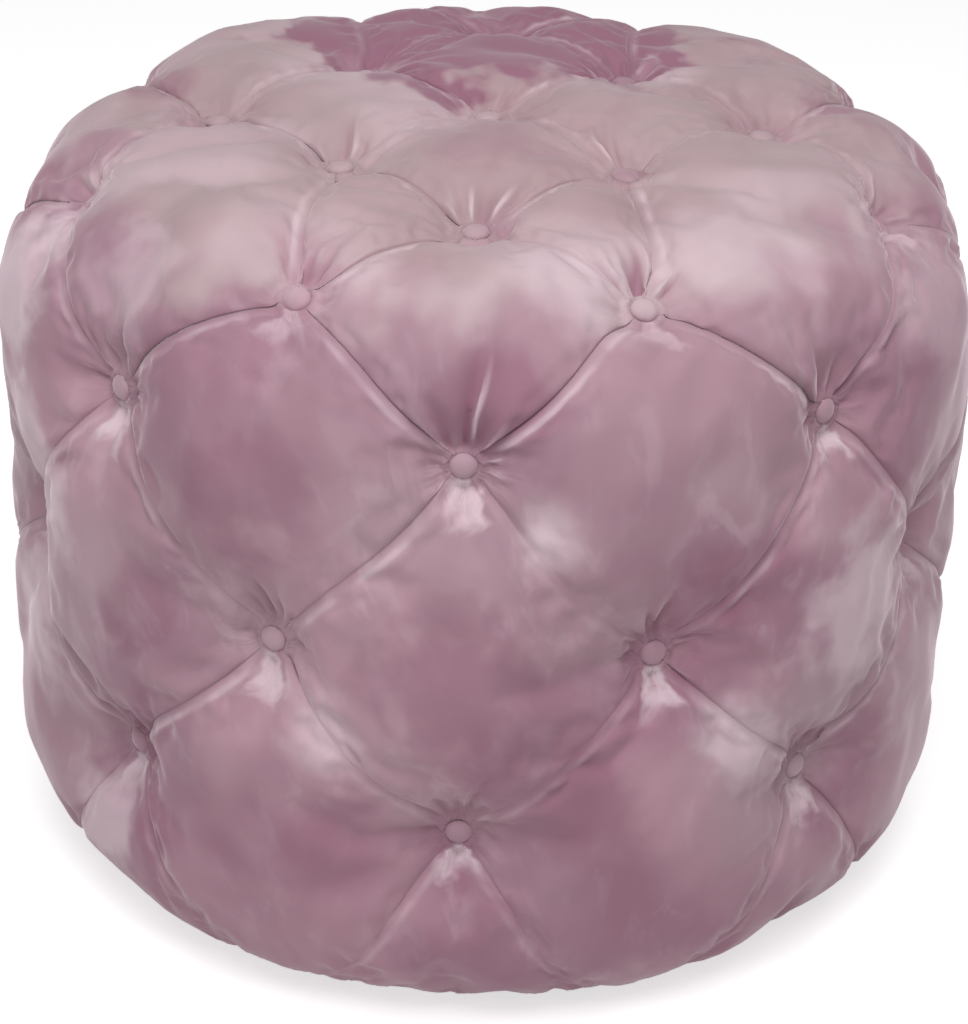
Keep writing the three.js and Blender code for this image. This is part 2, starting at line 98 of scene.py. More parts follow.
def count(name, description, default, low=1):
    """A whole number."""
    return bpy.props.IntProperty(name=name, description=description, default=default, min=low)


class TUFFET_PG_form(bpy.types.PropertyGroup):
    """Sizes of the outer shape and of the buttoning, as in the CAD source."""

    crown_radius: length("Crown radius", "Half the width over the pillows", 278)
    overall_height: length("Height", "Height over the crown profile", 450)
    dome_radius: length("Dome radius", "Radius of the slightly domed top", 1700)
    shoulder_radius: length("Shoulder radius", "Radius of the rim", 98)
    foot_inset: length("Foot inset", "How far the foot draws in", 52)
    foot_rise: length("Foot rise", "Height of the drawn-in foot", 84)
    cover_bottom: length("Cover bottom", "Height of the hem over the floor", 6.4)
    hem_width: length("Hem width", "Width of the hem under the drum", 36)
    cover_thickness: length("Cover thickness", "Velvet with its wadding", 1.3)
    foam_ease: length("Foam ease", "From the velvet's face to the foam", 7)
    grid_spacing: length("Grid spacing", "Half the grid of the top along X and Y", 77.25)
    rim_run: length("Rim run", "From the top centre to the rim buttons, along the crown", 236.5)
    upper_height: length("Upper ring", "Height of the upper buttons", 347)
    middle_height: length("Middle ring", "Height of the middle buttons", 231.5)
    lower_height: length("Lower ring", "Height of the lower buttons", 129)
    top_seat: length("Top seat", "Depth of the top buttons' seats", 18.5)
    side_seat: length("Side seat", "Depth of the side buttons' seats", 24)
    top_pleat: length("Top pleat", "Depth of the pleats on the top", 9)
    side_pleat: length("Side pleat", "Depth of the pleats on the side", 4)
    seat_radius: length("Seat radius", "Radius of the flat seat under a button", 10)
    shoulder_bow: length("Shoulder bow", "How far pleats below the rim bow upwards", 6)
    rim_bow: length("Rim bow", "How far pleats from the grid to the rim bow outwards", 9)
    drum_radius: length("Drum radius", "Radius of the drum inside the foam", 217)
    drum_top: length("Drum top", "Height of the drum", 386)
    wall_thickness: length("Wall thickness", "Of the drum's wall", 4)
    board_thickness: length("Board thickness", "Of the drum's boards", 15)
    gap: length("Gap", "Clearance between touching pieces", 0.3)
    drum_sides: count("Drum sides", "Facets round the drum", 40, 8)
    columns: count("Columns", "Pillows round the side", 8, 4)
    cells: count("Cells", "Mesh cells along half a pleat", 27, 4)
    foam_cells: count("Foam cells", "The same for the foam", 16, 4)


class TUFFET_PG_cloth(bpy.types.PropertyGroup):
    """How the velvet lies in its pleats and round its buttons."""

    seed: count("Seed", "Seed of every random draw", 11)
    fold_lean: length("Fold lean", "How far one pillow leans over the next in a pleat", 2.0)
    fold_width: length("Fold width", "From a pleat to where its lean is greatest", 4)
    crease_depth: length("Crease depth", "Of the sharp line in a pleat, below its valley", 1.5)
    crease_width: length("Crease width", "Half width of that line", 1.7)
    gather_depth: length("Gather depth", "Depth of the gathers round a button", 3.6)
    gather_reach: length("Gather reach", "How far the gathers run", 60)
    gather_width: length("Gather width", "Half width of a gather near the button", 0.95)
    collar: length("Collar", "How far the velvet puffs up round a button", 3)
    undulation: length("Undulation", "Height of the soft waves in the velvet", 2.2)
    pleat_wander: length("Pleat wander", "How far a pleat strays from its line", 2.6)
    coarse_cells: count("Coarse cells", "The mesh cells while the cloth is simulated", 13, 4)
    frames: count("Frames", "Frames of the cloth simulation", 18, 2)
    pressure: number("Pressure", "Of the wadding", 2.6)
    slack: share("Slack", "How much longer the velvet is than the pillows' form", 0.035)
    cap: length("Cap", "Most that the simulation moves a point", 6)
    swell: length("Swell", "By which the pillows start smaller than the wadding swells them", 3.5)
    pinned: length("Pinned", "From a pleat to where the velvet moves freely", 9)
    fullness: share("Fullness", "How steeply a pillow rises from its pleats", 0.7)


class TUFFET_PG_button(bpy.types.PropertyGroup):
    """Sizes of a covered button, its twine and its toggle."""

    radius: length("Radius", "Half the width of a button", 7)
    height: length("Height", "Height of a button over its seat", 4.6)
    edge: length("Edge", "Height of the rolled edge", 0.9)
    lift: length("Lift", "Gap between seat and button", 0.2)
    neck_radius: length("Neck radius", "Radius of the tuck under a button", 2.2)
    twine_radius: length("Twine radius", "Radius of the twine", 0.7)
    twine_stop: length("Twine stop", "Depth under the seat at which the neck ends", 2)
    toggle_radius: length("Toggle radius", "Radius of the toggle inside the drum", 5)
    toggle_thickness: length("Toggle thickness", "Thickness of the toggle", 2)
    tilt: angle("Tilt", "Most that a button leans", 5)
    sides: count("Sides", "Sides round a button", 40, 8)


class TUFFET_PG_colours(bpy.types.PropertyGroup):
    """Colours of the velvet and of what it hides."""

    velvet: colour("Velvet", "The velvet where its pile lies flat", (0.50, 0.295, 0.357))
    # velvet_deep also paints shade: on the belt and the foot, in the gathers, over the back of the
    # top and in the buttons' seats.
    velvet_deep: colour("Deep velvet", "Where the pile points at the eye", (0.30, 0.135, 0.195))
    # velvet_pale also paints highlights: on the crown, below the buttons, on the pleats' lips and
    # the gathers' ridges, and the sheen spots at the sides.
    velvet_pale: colour("Pale velvet", "Where the pile is brushed up", (0.74, 0.58, 0.64))
    velvet_grey: colour("Grey velvet", "Where the crushed pile turns greyish", (0.45, 0.32, 0.36))
    # The beige of the top is a painted highlight: the sheen where the top faces the light.
    velvet_top_sheen: colour("Beige velvet", "Of the top, where the pile is worn", (0.43, 0.335, 0.33))
    foam: colour("Foam", "Upholstery foam", (0.80, 0.72, 0.50))
    lining: colour("Lining", "Lining under the base", (0.013, 0.013, 0.014))
    lint: colour("Lint", "Lint on the lining", (0.05, 0.05, 0.052))
    plywood: colour("Plywood", "Face of the boards", (0.58, 0.39, 0.19))
    plywood_dark: colour("Plywood dark", "Dark plies and grain of the boards", (0.33, 0.19, 0.08))
    hardboard: colour("Hardboard", "Wall of the drum", (0.25, 0.14, 0.07))
    pine: colour("Pine", "Posts", (0.70, 0.52, 0.26))
    pine_dark: colour("Pine dark", "Late wood of the posts", (0.46, 0.27, 0.10))
    glide: colour("Glide", "Moulded glides", (0.024, 0.023, 0.023))
    glide_worn: colour("Worn glide", "Where the glides are worn", (0.09, 0.088, 0.085))


class TUFFET_PG_stage(bpy.types.PropertyGroup):
    """Camera, lights and floor."""

    distance: length("Distance", "From the camera to its target", 1541.4)
    elevation: angle("Elevation", "Of the camera over the horizon", 27.08)
    azimuth: angle("Azimuth", "Of the camera, from the front towards +X", 2.77)
    roll: angle("Roll", "Of the camera", 0.70)
    target_height: length("Target height", "Height of the camera's target", 221.7)
    target_side: length("Target side", "Sideways place of the target", -16.6)
    lens: number("Lens", "Focal length in mm", 90.64)
    shift_x: number("Shift X", "Of the frame", 0.02826)
    shift_y: number("Shift Y", "Of the frame", -0.05706)
    aim: point("Aim", "What the lights are turned to", (0, 0, 250))
    top_light: number("Top light", "Watts", 32.0)
    top_place: point("Top place", "Of the top light", (50, -1000, 2100))
    top_size: length("Top size", "Of the top light", 1300)
    front_light: number("Front light", "Watts", 4.5)
    front_place: point("Front place", "Of the front light", (-900, -2200, 1100))
    front_size: length("Front size", "Of the front light", 1600)
    floor_half: length("Floor half", "Half the floor's width", 8000)
    ambient: share("Ambient", "Strength of the world's light", 0.28)
    floor_glow: share("Floor glow", "Adds white to the floor for the camera alone", 0.62)


# ---- The crown profile and its chart ----

Knot = namedtuple("Knot", "run angle seat ring step")
CENTRE = 99
GRID, RIM, UPPER, MIDDLE, LOWER, FOOT = range(6)

# How sharp the pleats of the front are: ring and step of both knots, then the sharpness
FRONT_PLEATS = {
    (GRID, 0, GRID, 1): 0.8, (GRID, 0, GRID, 7): 0.8, (GRID, 0, RIM, 1): 0.55,
    (GRID, 0, RIM, 15): 0.9, (GRID, 1, RIM, 1): 1.1, (GRID, 7, RIM, 15): 1.1,
    (RIM, 1, UPPER, 0): 1.0, (RIM, 15, UPPER, 0): 0.75,
    (RIM, 1, UPPER, 2): 1.0, (RIM, 15, UPPER, 14): 1.0, (UPPER, 0, MIDDLE, 1): 0.18,
    (UPPER, 0, MIDDLE, 15): 1.0, (UPPER, 2, MIDDLE, 1): 0.6, (UPPER, 14, MIDDLE, 15): 0.45,
    (UPPER, 2, MIDDLE, 3): 0.9, (UPPER, 14, MIDDLE, 13): 0.8, (MIDDLE, 15, LOWER, 14): 1.0,
    (MIDDLE, 1, LOWER, 2): 0.8, (MIDDLE, 1, LOWER, 0): 0.35, (MIDDLE, 15, LOWER, 0): 0.3,
    (LOWER, 0, FOOT, 1): 0.4, (LOWER, 0, FOOT, 15): 0.5,
}
# Long gathers of the front: degrees from straight up, strength, reach as a share of the common one,
# width as a share, and the side of the lip
FRONT_GATHERS = {
    (UPPER, 0): [
        (3, 1.6, 1.45, 0.75, 1.7), (-27, 0.9, 1.2, 1.2, -1.7), (23, 0.8, 1.05, 1.1, 1.7),
        (74, -0.8, 0.55, 1.7, 3.4), (104, -0.8, 0.6, 1.7, -3.4),
    ],
    (RIM, 15): [(-3, 1.0, 0.75, 0.7, 1.7), (7, 0.8, 0.65, 0.7, -1.7)],
    (RIM, 1): [(-9, 1.0, 0.8, 0.7, -1.7), (2, 1.3, 0.95, 0.7, 1.7), (14, 0.9, 0.8, 0.8, 1.7)],
    (MIDDLE, 15): [(-6, 1.0, 0.9, 0.9, 1.7)], (MIDDLE, 1): [(5, 1.1, 1.0, 0.9, -1.7)],
    (UPPER, 2): [(-14, 1.0, 1.0, 0.9, -1.7)], (UPPER, 14): [(11, 1.0, 1.0, 0.9, 1.7)],
}
# Least half width of those gathers, which the mesh still shows without steps
LEAST_LONG_GATHER = 2.1 * MM
# Patches of the crushed pile's tone, among them painted light and shade: degrees round from the
# front, run down from the top centre in mm, radius in mm, and how pale (over nothing) or how deep
# (under nothing) the velvet is painted. The deep patches over the back of the top are painted
# shade, the small deep spots at the grid and rim buttons are painted shade in their seats, and the
# pale patches at about 48 to 66 degrees to the left and right are painted sheen.
NAP_AND_PAINTED_LIGHT_SPOTS = (
    (180, 130, 130, -1.3), (150, 155, 40, -0.4), (-150, 160, 40, -0.3), (-120, 80, 45, 0.35),
    (120, 75, 45, 0.4), (-100, 205, 32, -0.4), (100, 210, 35, -0.4), (-75, 215, 30, -0.4),
    (0, 72, 48, -0.3), (0, 160, 18, -0.9), (-45, 114, 18, -0.9), (45, 114, 18, -0.9),
    (-22, 243, 16, -0.6), (22, 240, 16, -0.6), (90, 160, 16, -0.7), (-90, 160, 16, -0.7),
    (-66, 300, 48, 0.6), (-45, 265, 40, 0.35), (-15, 225, 40, 0.3),
    (15, 225, 40, 0.3), (38, 230, 50, 0.3), (66, 285, 45, 0.3), (-24, 350, 48, -0.4),
    (3, 292, 38, -0.45), (20, 360, 45, -0.25), (33, 395, 35, -0.35), (-60, 400, 55, 0.6),
    (-38, 440, 32, -0.35), (0, 445, 58, -0.4), (9, 352, 28, 0.5), (24, 425, 30, -0.4),
    (48, 440, 58, 0.45), (-66, 500, 50, 0.5), (-45, 500, 45, -0.35), (-15, 545, 42, -0.35),
    (14, 520, 46, -0.4), (12, 640, 45, -0.3), (-25, 640, 45, -0.25), (-14, 490, 28, 0.4),
    (32, 500, 32, 0.45), (52, 560, 42, -0.45), (-50, 600, 42, 0.5),
)
BACK_SPOTS = 18
# How pale the patch below the buttons of each ring is painted, from the grid to the foot: partly
# brushed pile, partly painted highlight where the slope below a button faces the light from above
BRUSHED_AND_LIT_SHARES = (0.15, 0.45, 1.0, 1.0, 1.0, 0.0)
QUARTER = 0.25
HALF = 0.5
# Shares of a pleat: the flat seat, the least that it may shrink to, and how it is eased
SEAT_SHARE = 0.075
LEAST_SEAT_SHARE = 0.055
EASE_SHARE, EASE_PEAK = 0.03, 1.18
# Between which shares a pillow is set free to rise
RISE_SHARES = (SEAT_SHARE * 0.8, QUARTER * 0.92)
# Depth of a pleat without any sharpness, as a share of its full depth
SOFT_PLEAT = 0.12
# How much closer the mesh's lines lie at a pleat than in the middle of a pillow
GRID_POWER = 1.4
# Gathers drawn round each button: middle and half width of a sector in degrees from straight up,
# number, and reach as a share
GATHER_SECTORS = ((0, 40, 5, 1.0), (90, 34, 3, 0.6), (-90, 34, 3, 0.6), (180, 40, 3, 0.65))
# Gathers: most strength, growth of the width, share of the lip's height, and where they set in
GATHER_LIMIT = 1.3
GATHER_GROWTH, GATHER_LIP = 0.06, 0.55
GATHER_START, GATHER_FULL = 9 * MM, 20 * MM
# Soft noise: number of sines, longest and shortest wave; and the share of the finest
WARP_WAVES, LOW_WAVES, FINE_WAVES = (5, 0.16, 0.07), (8, 0.15, 0.06), (10, 0.045, 0.02)
FINE_SHARE = 0.3
# Distances from a knot at which the sharp lines and the leaning folds set in and are full
LINE_START, LINE_FULL = 8 * MM, 34 * MM
LEAN_START, LEAN_FULL = 6 * MM, 16 * MM
# How much the way across counts beside the way down in the choice of a leaning fold's side
LEAN_ACROSS = 0.35
# Middle and half width of the pale lip beside a pleat, a painted highlight, and of the collar round
# a button
LIP_PLACE, LIP_WIDTH = 3.8 * MM, 1.8 * MM
COLLAR_PLACE, COLLAR_WIDTH = 9.6 * MM, 2.0 * MM
# How far the velvet may rise above the crown profile
MOST_RISE = 1.2 * MM
# Distance under which points are one, in a mesh and in the simulated grid
MERGE, SAME_PLACE = 0.02 * MM, 0.05 * MM
# A button's dome, and its toggle's outline as shares of the radius and the thickness
DOME_POWER = 0.9
TOGGLE_SHARES = ((0.0, 1.0), (0.9, 1.0), (1.0, 0.8), (1.0, 0.2), (0.9, 0.0))
# Puckers round a button's edge: number, and depth as a share of the radius
BUTTON_PUCKERS = ((9, 0.012), (14, 0.01))
# The lining: sides and rings, number of its puckers, their height, its waves' height and limits
LINING_SIDES, LINING_RINGS, LINING_PUCKERS = 192, 40, 32
LINING_PUCKER, LINING_WAVE, LINING_LIMITS = 0.25 * MM, 0.15 * MM, (-0.2 * MM, 0.5 * MM)
LINING_WAVES = (6, 0.2, 0.05)
# How far the foam's cutters go: shares of its radius and height, and depth under the floor
PAST, UNDER_FLOOR = 1.1, 50 * MM


class Profile:
    """The crown profile: a dome arc, a shoulder arc, a wall, an oval foot and a flat hem."""

    def __init__(self, form):
        self.form = form
        self.shoulder_start = form.crown_radius - form.shoulder_radius
        lean = self.shoulder_start / (form.dome_radius - form.shoulder_radius)
        self.dome_angle = math.asin(lean)
        self.dome_run = form.dome_radius * self.dome_angle
        self.shoulder_run = form.shoulder_radius * (math.pi / 2 - self.dome_angle)
        drop = (form.dome_radius - form.shoulder_radius) * math.cos(self.dome_angle)
        self.shoulder_centre = form.overall_height - form.dome_radius + drop
        self.foot_top = form.cover_bottom + form.foot_rise
        self.wall_start = self.dome_run + self.shoulder_run
        self.foot_start = self.wall_start + self.shoulder_centre - self.foot_top
        self.foot_run = (form.foot_inset + form.foot_rise) / 2 * math.pi / 2
        self.hem_start = self.foot_start + self.foot_run

    def at(self, run):
        """Radius, height and outward normal at a run down from the top centre. The dome and the
        shoulder are arcs, the foot is a quarter ellipse, and the hem runs flat towards the axis."""
        form = self.form
        dome = run / form.dome_radius
        shoulder = self.dome_angle + (run - self.dome_run) / form.shoulder_radius
        foot = np.clip((run - self.foot_start) / self.foot_run, 0, 1) * math.pi / 2
        foot_nr, foot_nz = np.cos(foot) / form.foot_inset, -np.sin(foot) / form.foot_rise
        foot_length = np.hypot(foot_nr, foot_nz)
        ends = (self.dome_run, self.wall_start, self.foot_start, self.hem_start)
        which = [run <= end for end in ends]
        one, zero = np.ones_like(run), np.zeros_like(run)
        radius = np.select(which, [
            form.dome_radius * np.sin(dome),
            self.shoulder_start + form.shoulder_radius * np.sin(shoulder),
            form.crown_radius * one,
            form.crown_radius - form.foot_inset * (1 - np.cos(foot)),
        ], form.crown_radius - form.foot_inset - (run - self.hem_start))
        height = np.select(which, [
            form.overall_height - form.dome_radius * (1 - np.cos(dome)),
            self.shoulder_centre + form.shoulder_radius * np.cos(shoulder),
            self.shoulder_centre - (run - self.wall_start),
            self.foot_top - form.foot_rise * np.sin(foot),
        ], form.cover_bottom)
        nr = np.select(which, [np.sin(dome), np.sin(shoulder), one, foot_nr / foot_length], zero)
        nz = np.select(which, [np.cos(dome), np.cos(shoulder), zero, foot_nz / foot_length], -one)
        return radius, height, nr, nz

    def surface(self, chart, depth):
        """Points at a depth under the crown, and outward normals. The chart is the profile's run
        taken as a radius in plan: angle 0 faces -Y and grows towards +X."""
        turn = np.arctan2(chart[..., 0], -chart[..., 1])
        radius, height, nr, nz = self.at(np.hypot(chart[..., 0], chart[..., 1]))
        inner = radius - nr * depth
        points = np.stack([inner * np.sin(turn), -inner * np.cos(turn), height - nz * depth], -1)
        return points, np.stack([nr * np.sin(turn), -nr * np.cos(turn), nz], -1)


def chart_points(run, turn):
    """Chart points at runs and angles."""
    return np.stack([run * np.sin(turn), -run * np.cos(turn)], -1)


def smooth(low, high, value):
    """A smooth step from 0 at low to 1 at high: 3t^2 - 2t^3."""
    t = np.clip((value - low) / (high - low), 0, 1)
    return t * t * (3 - 2 * t)


# ---- Knots, where pleats meet, and the pillows between them ----


def knot_maker(form, profile):
    """A function that gives the knot of a ring at a step."""
    turn = 2 * math.pi / form.columns
    heights = [form.upper_height, form.middle_height, form.lower_height]
    downs = [profile.wall_start + profile.shoulder_centre - height for height in heights]
    runs = [form.rim_run, *downs, profile.hem_start]

    def knot(ring, step):
        if ring == GRID:
            run = form.grid_spacing * (2 if step % 2 == 0 else math.sqrt(2))
            return Knot(run, step * turn, form.top_seat, ring, step % form.columns)
        seat = {RIM: form.top_seat, FOOT: 0.0}.get(ring, form.side_seat)
        return Knot(runs[ring - 1], step * turn / 2, seat, ring, step % (2 * form.columns))

    return knot


def top_pillows(form, knot):
    """The top's pillows, as the knots round each one, anticlockwise seen from outside."""
    centre = Knot(0.0, 0.0, form.top_seat, GRID, CENTRE)
    pillows = []
    for quarter in range(4):
        corner = 2 * quarter
        diagonal = corner + 1
        pillows.append([centre, knot(GRID, corner - 1), knot(GRID, corner), knot(GRID, corner + 1)])
        pillows.append([
            knot(GRID, corner), knot(RIM, 2 * corner - 1),
            knot(UPPER, 2 * corner), knot(RIM, 2 * corner + 1),
        ])
        before = [knot(GRID, diagonal - 1), knot(RIM, 2 * diagonal - 1)]
        after = [knot(RIM, 2 * diagonal + 1), knot(GRID, diagonal + 1)]
        outer, middle = knot(UPPER, 2 * diagonal), knot(GRID, diagonal)
        if quarter % 2 == 0:
            pillows += [[middle, *before], [middle, before[1], outer, *after]]
        else:
            pillows += [[middle, *after], [middle, *before, outer, after[0]]]
    return pillows


def side_pillows(knot, column):
    """The side's pillows of one column: upper, middle, lower and foot."""
    step = 2 * column
    return [
        [knot(RIM, step + 1), knot(UPPER, step), knot(MIDDLE, step + 1), knot(UPPER, step + 2)],
        [knot(UPPER, step), knot(MIDDLE, step - 1), knot(LOWER, step), knot(MIDDLE, step + 1)],
        [knot(MIDDLE, step + 1), knot(LOWER, step), knot(FOOT, step + 1), knot(LOWER, step + 2)],
        [knot(LOWER, step), knot(FOOT, step - 1), knot(FOOT, step + 1)],
    ]


def side_panel(form, knot, first):
    """The pillows of half the side, from one column on, with the zigzag ends of the panel."""
    pillows = []
    for column in range(first, first + form.columns // 2):
        upper, _, lower, _ = side_pillows(knot, column)
        _, middle, _, foot = side_pillows(knot, column + 1)
        pillows += [upper, lower, middle, foot]
    return pillows


def sharpness(one, other, seed):
    """How sharp a pleat is: from the table of the front, or drawn by its knots alone."""
    ends = sorted(((one.ring, one.step), (other.ring, other.step)))
    key = (*ends[0], *ends[1])
    return FRONT_PLEATS.get(key, np.random.default_rng([seed, *key]).uniform(0.35, 1.0))


def pleat_depth(form, one, other):
    """Depth of the middle of a pleat: the mean of what its two knots ask for."""
    depths = []
    for knot in (one, other):
        on_top = knot.ring in (GRID, RIM)
        depths.append(0.0 if knot.ring == FOOT else form.top_pleat if on_top else form.side_pleat)
    return sum(depths) / 2


def pleat_bow(form, one, other):
    """How far the middle of a pleat bows outwards in the chart: up the shoulder, or to the rim."""
    high, low = sorted((one, other), key=lambda knot: knot.ring)
    if (high.ring, low.ring) == (RIM, UPPER):
        return -form.shoulder_bow
    return form.rim_bow if (high.ring, low.ring) == (GRID, RIM) and high.step % 2 == 0 else 0.0


def pleat(form, start, end, flat, bow, shares):
    """Chart points along pleats, at shares of their length from start. start and end are runs and
    angles. A flat pleat is straight in plan, and another one straight in run and angle; both bow
    away from the centre by 4 bow s (1 - s). Near its end the share is eased, so that SEAT_SHARE of
    its length on the crown covers the seat's radius."""
    first, last = (chart_points(*np.moveaxis(place, -1, 0)) for place in (start, end))
    radius = np.minimum((start[..., 0] + end[..., 0]) / 2, form.crown_radius)
    wound_length = np.hypot(end[..., 0] - start[..., 0], (end[..., 1] - start[..., 1]) * radius)
    seat = form.seat_radius / np.where(flat, np.linalg.norm(last - first, axis=-1), wound_length)
    seat = np.maximum(seat, LEAST_SEAT_SHARE)
    ease = EASE_PEAK * (1 - shares / HALF) * (1 - np.exp(-shares / EASE_SHARE))
    along = (shares + (seat - SEAT_SHARE) * ease)[..., None]
    straight = first + (last - first) * along
    wound = start + (end - start) * along
    points = np.where(flat[..., None], straight, chart_points(wound[..., 0], wound[..., 1]))
    out = points / np.maximum(np.linalg.norm(points, axis=-1, keepdims=True), 1 * MM)
    return points + out * bow[..., None] * 4 * along * (1 - along)


class Quarters:
    """The quarters of some pillows as arrays: each pillow is split at its centre into one quarter
    for each of its knots, which two half pleats and the centre span. What is held for each pleat
    has two rows: the pleat to the knot after, and the pleat to the knot before."""

    def __init__(self, form, pillows, seed=0):
        rows = []
        self.knots = []
        for index, knots in enumerate(pillows):
            for i, knot in enumerate(knots):
                row = [index, knot.ring, knot.seat, knot.run, knot.angle]
                for end in (knots[(i + 1) % len(knots)], knots[i - 1]):
                    row += [
                        end.run, end.angle, pleat_depth(form, knot, end),
                        sharpness(knot, end, seed), pleat_bow(form, knot, end),
                        GRID in (knot.ring, end.ring), knot.ring == end.ring == FOOT,
                    ]
                rows.append(row)
                self.knots.append(knot)
        table = np.array(rows, float)
        self.pillow, self.ring = table[:, :2].T.astype(int)
        self.seat, self.start = table[:, 2], table[:, 3:5]
        ends = table[:, 5:].reshape(len(rows), 2, -1).transpose(1, 0, 2)
        self.ends = ends[..., :2]
        depth, self.sharp, self.bow, flat, foot = np.moveaxis(ends[..., 2:], -1, 0)
        self.depth = depth * (SOFT_PLEAT + (1 - SOFT_PLEAT) * self.sharp)
        self.flat, self.foot = flat > 0, foot > 0
        middles = pleat(
            form, self.start, self.ends[0], self.flat[0], self.bow[0], np.array(HALF))
        sums = np.zeros((len(pillows), 2))
        np.add.at(sums, self.pillow, middles)
        self.centre = (sums / np.bincount(self.pillow)[:, None])[self.pillow]

    def charts(self, form, shares):
        """Chart points of every quarter at shares a and b along its two pleats: a Coons patch
        between the half pleats and the lines from their middles to the pillow's centre."""
        def spread(values, extra):
            return values.reshape(values.shape[:1] + (1,) * extra + values.shape[1:])

        side_a, side_b = (
            pleat(form, *(spread(values, 1) for values in (self.start, *pleats)), shares)
            for pleats in zip(self.ends, self.flat, self.bow))
        u, v = shares[:, None, None] / HALF, shares[None, :, None] / HALF
        a, b = side_a[:, :, None], side_b[:, None, :]
        corner, centre = side_a[:, :1, None], spread(self.centre, 2)
        middle_a, middle_b = side_a[:, -1:, None], side_b[:, -1:, None]
        return (
            a * (1 - v) + (middle_b * (1 - u) + centre * u) * v
            + b * (1 - u) + (middle_a * (1 - v) + centre * v) * u
            - corner * (1 - u) * (1 - v) - middle_a * u * (1 - v)
            - middle_b * (1 - u) * v - centre * u * v
        )

    def depths(self, shares, fullness):
        """Depth and rise at shares a and b. The crease is flat in the seat and eases to each
        pleat's depth; the rise is (16 a (1-a) b (1-b)) ^ fullness, held down near the seat."""
        a, b = shares[None, :, None], shares[None, None, :]
        seat = self.seat[:, None, None]

        def along(depth, share_):
            past = np.maximum(0, share_ - SEAT_SHARE) / (HALF - SEAT_SHARE)
            return depth[:, None, None] + (seat - depth[:, None, None]) * (1 - past) ** 2

        weight_a, weight_b = (HALF ** 2 - b ** 2) * a ** 2, (HALF ** 2 - a ** 2) * b ** 2
        weight = weight_a + weight_b
        mixed = along(self.depth[0], a) * weight_a + along(self.depth[1], b) * weight_b
        crease = np.where(weight > 0, mixed / np.maximum(weight, 1e-12), seat)
        most = (a ** 4 + b ** 4) ** 0.25
        rise = (16 * a * (1 - a) * b * (1 - b)) ** fullness * smooth(*RISE_SHARES, most)
        return crease, rise


def waves(points, rng, number, longest, shortest):
    """Soft noise from -1 to 1: the mean of sines that run in random directions."""
    total = np.zeros(points.shape[:-1])
    for _ in range(number):
        way = rng.normal(size=3)
        way *= 2 * math.pi / (rng.uniform(shortest, longest) * np.linalg.norm(way))
        total += np.sin(points @ way + rng.uniform(0, 2 * math.pi))
    return total / math.sqrt(number)


def unit(vectors):
    """Vectors brought to length 1."""
    return vectors / np.maximum(np.linalg.norm(vectors, axis=-1, keepdims=True), 1e-12)


def level(turn):
    """The level directions across the surface at angles."""
    return np.stack([np.cos(turn), np.sin(turn), np.zeros_like(turn)], -1)


def gather_valley(cloth, around, away, way, strength, reach, width, lip, least=0.0):
    """One gather: how much deeper it makes the cloth, by angle round its knot and distance. It is
    nowhere narrower than least."""
    turn = around - way
    wide = np.maximum(width * (cloth.gather_width + GATHER_GROWTH * away), least)
    across = away * np.sin(turn) / wide
    valley = np.exp(-across ** 2) - GATHER_LIP * np.exp(-(across - lip) ** 2)
    end = reach * cloth.gather_reach
    fade = smooth(GATHER_START, GATHER_FULL, away) * (1 - smooth(0.3 * end, end, away))
    return strength * valley * fade * smooth(0.2, 0.6, np.cos(turn))


def gathers(cloth, quarters, around, away):
    """How much deeper the gathers make the cloth, at an angle round the knot and a distance from
    it. Across, a gather is a valley with a lip beside it, exp(-(x/w)^2) - 0.55 exp(-(x/w - lip)^2).
    It starts at the button's edge, widens with the distance and fades out at its reach. More and
    longer ones run up from a button than to its sides and down."""
    table = {}
    for knot in quarters.knots:
        name = (knot.ring, knot.step)
        if name in table:
            continue
        rng = np.random.default_rng([cloth.seed, *name])
        table[name] = [
            [
                math.radians(middle + degrees), rng.uniform(0.3, 1.0),
                rng.uniform(0.6, 1.0) * reach, rng.uniform(0.75, 1.3), rng.choice([-1.7, 1.7]),
            ]
            for middle, spread, total, reach in GATHER_SECTORS
            for degrees in np.linspace(-spread, spread, total) + rng.uniform(-7, 7, total)
        ]
    rows = np.array([table[(knot.ring, knot.step)] for knot in quarters.knots])
    deeper = np.zeros_like(away)
    for numbers in rows.transpose(1, 2, 0)[..., None, None]:
        deeper += gather_valley(cloth, around, away, *numbers)
    names = np.array([(knot.ring, knot.step) for knot in quarters.knots])
    for name, more in FRONT_GATHERS.items():
        mine = np.all(names == name, axis=1)
        for degrees, *rest in more:
            deeper[mine] += gather_valley(
                cloth, around[mine], away[mine], math.radians(degrees), *rest, LEAST_LONG_GATHER)
    return cloth.gather_depth * GATHER_LIMIT * np.tanh(deeper / GATHER_LIMIT)


def lean_ways(profile, quarters, after, flat):
    """For each quarter's pleat to another knot, the direction across it, always towards the
    outside or the foot, so that both its pillows agree."""
    first, last = (chart_points(*place.T) for place in (quarters.start, after))
    wound = chart_points(*((quarters.start + after) / 2).T)
    middle = np.where(flat[:, None], (first + last) / 2, wound)
    _, normal = profile.surface(middle, 0.0)
    across = level(np.arctan2(middle[:, 0], -middle[:, 1]))
    down = np.cross(across, normal)
    (start, _), (end, _) = (profile.surface(place, 0.0) for place in (first, last))
    way = unit(np.cross(normal, end - start))
    sign = np.sign(np.sum(way * (down + LEAN_ACROSS * across), -1))
    return way * sign[:, None]


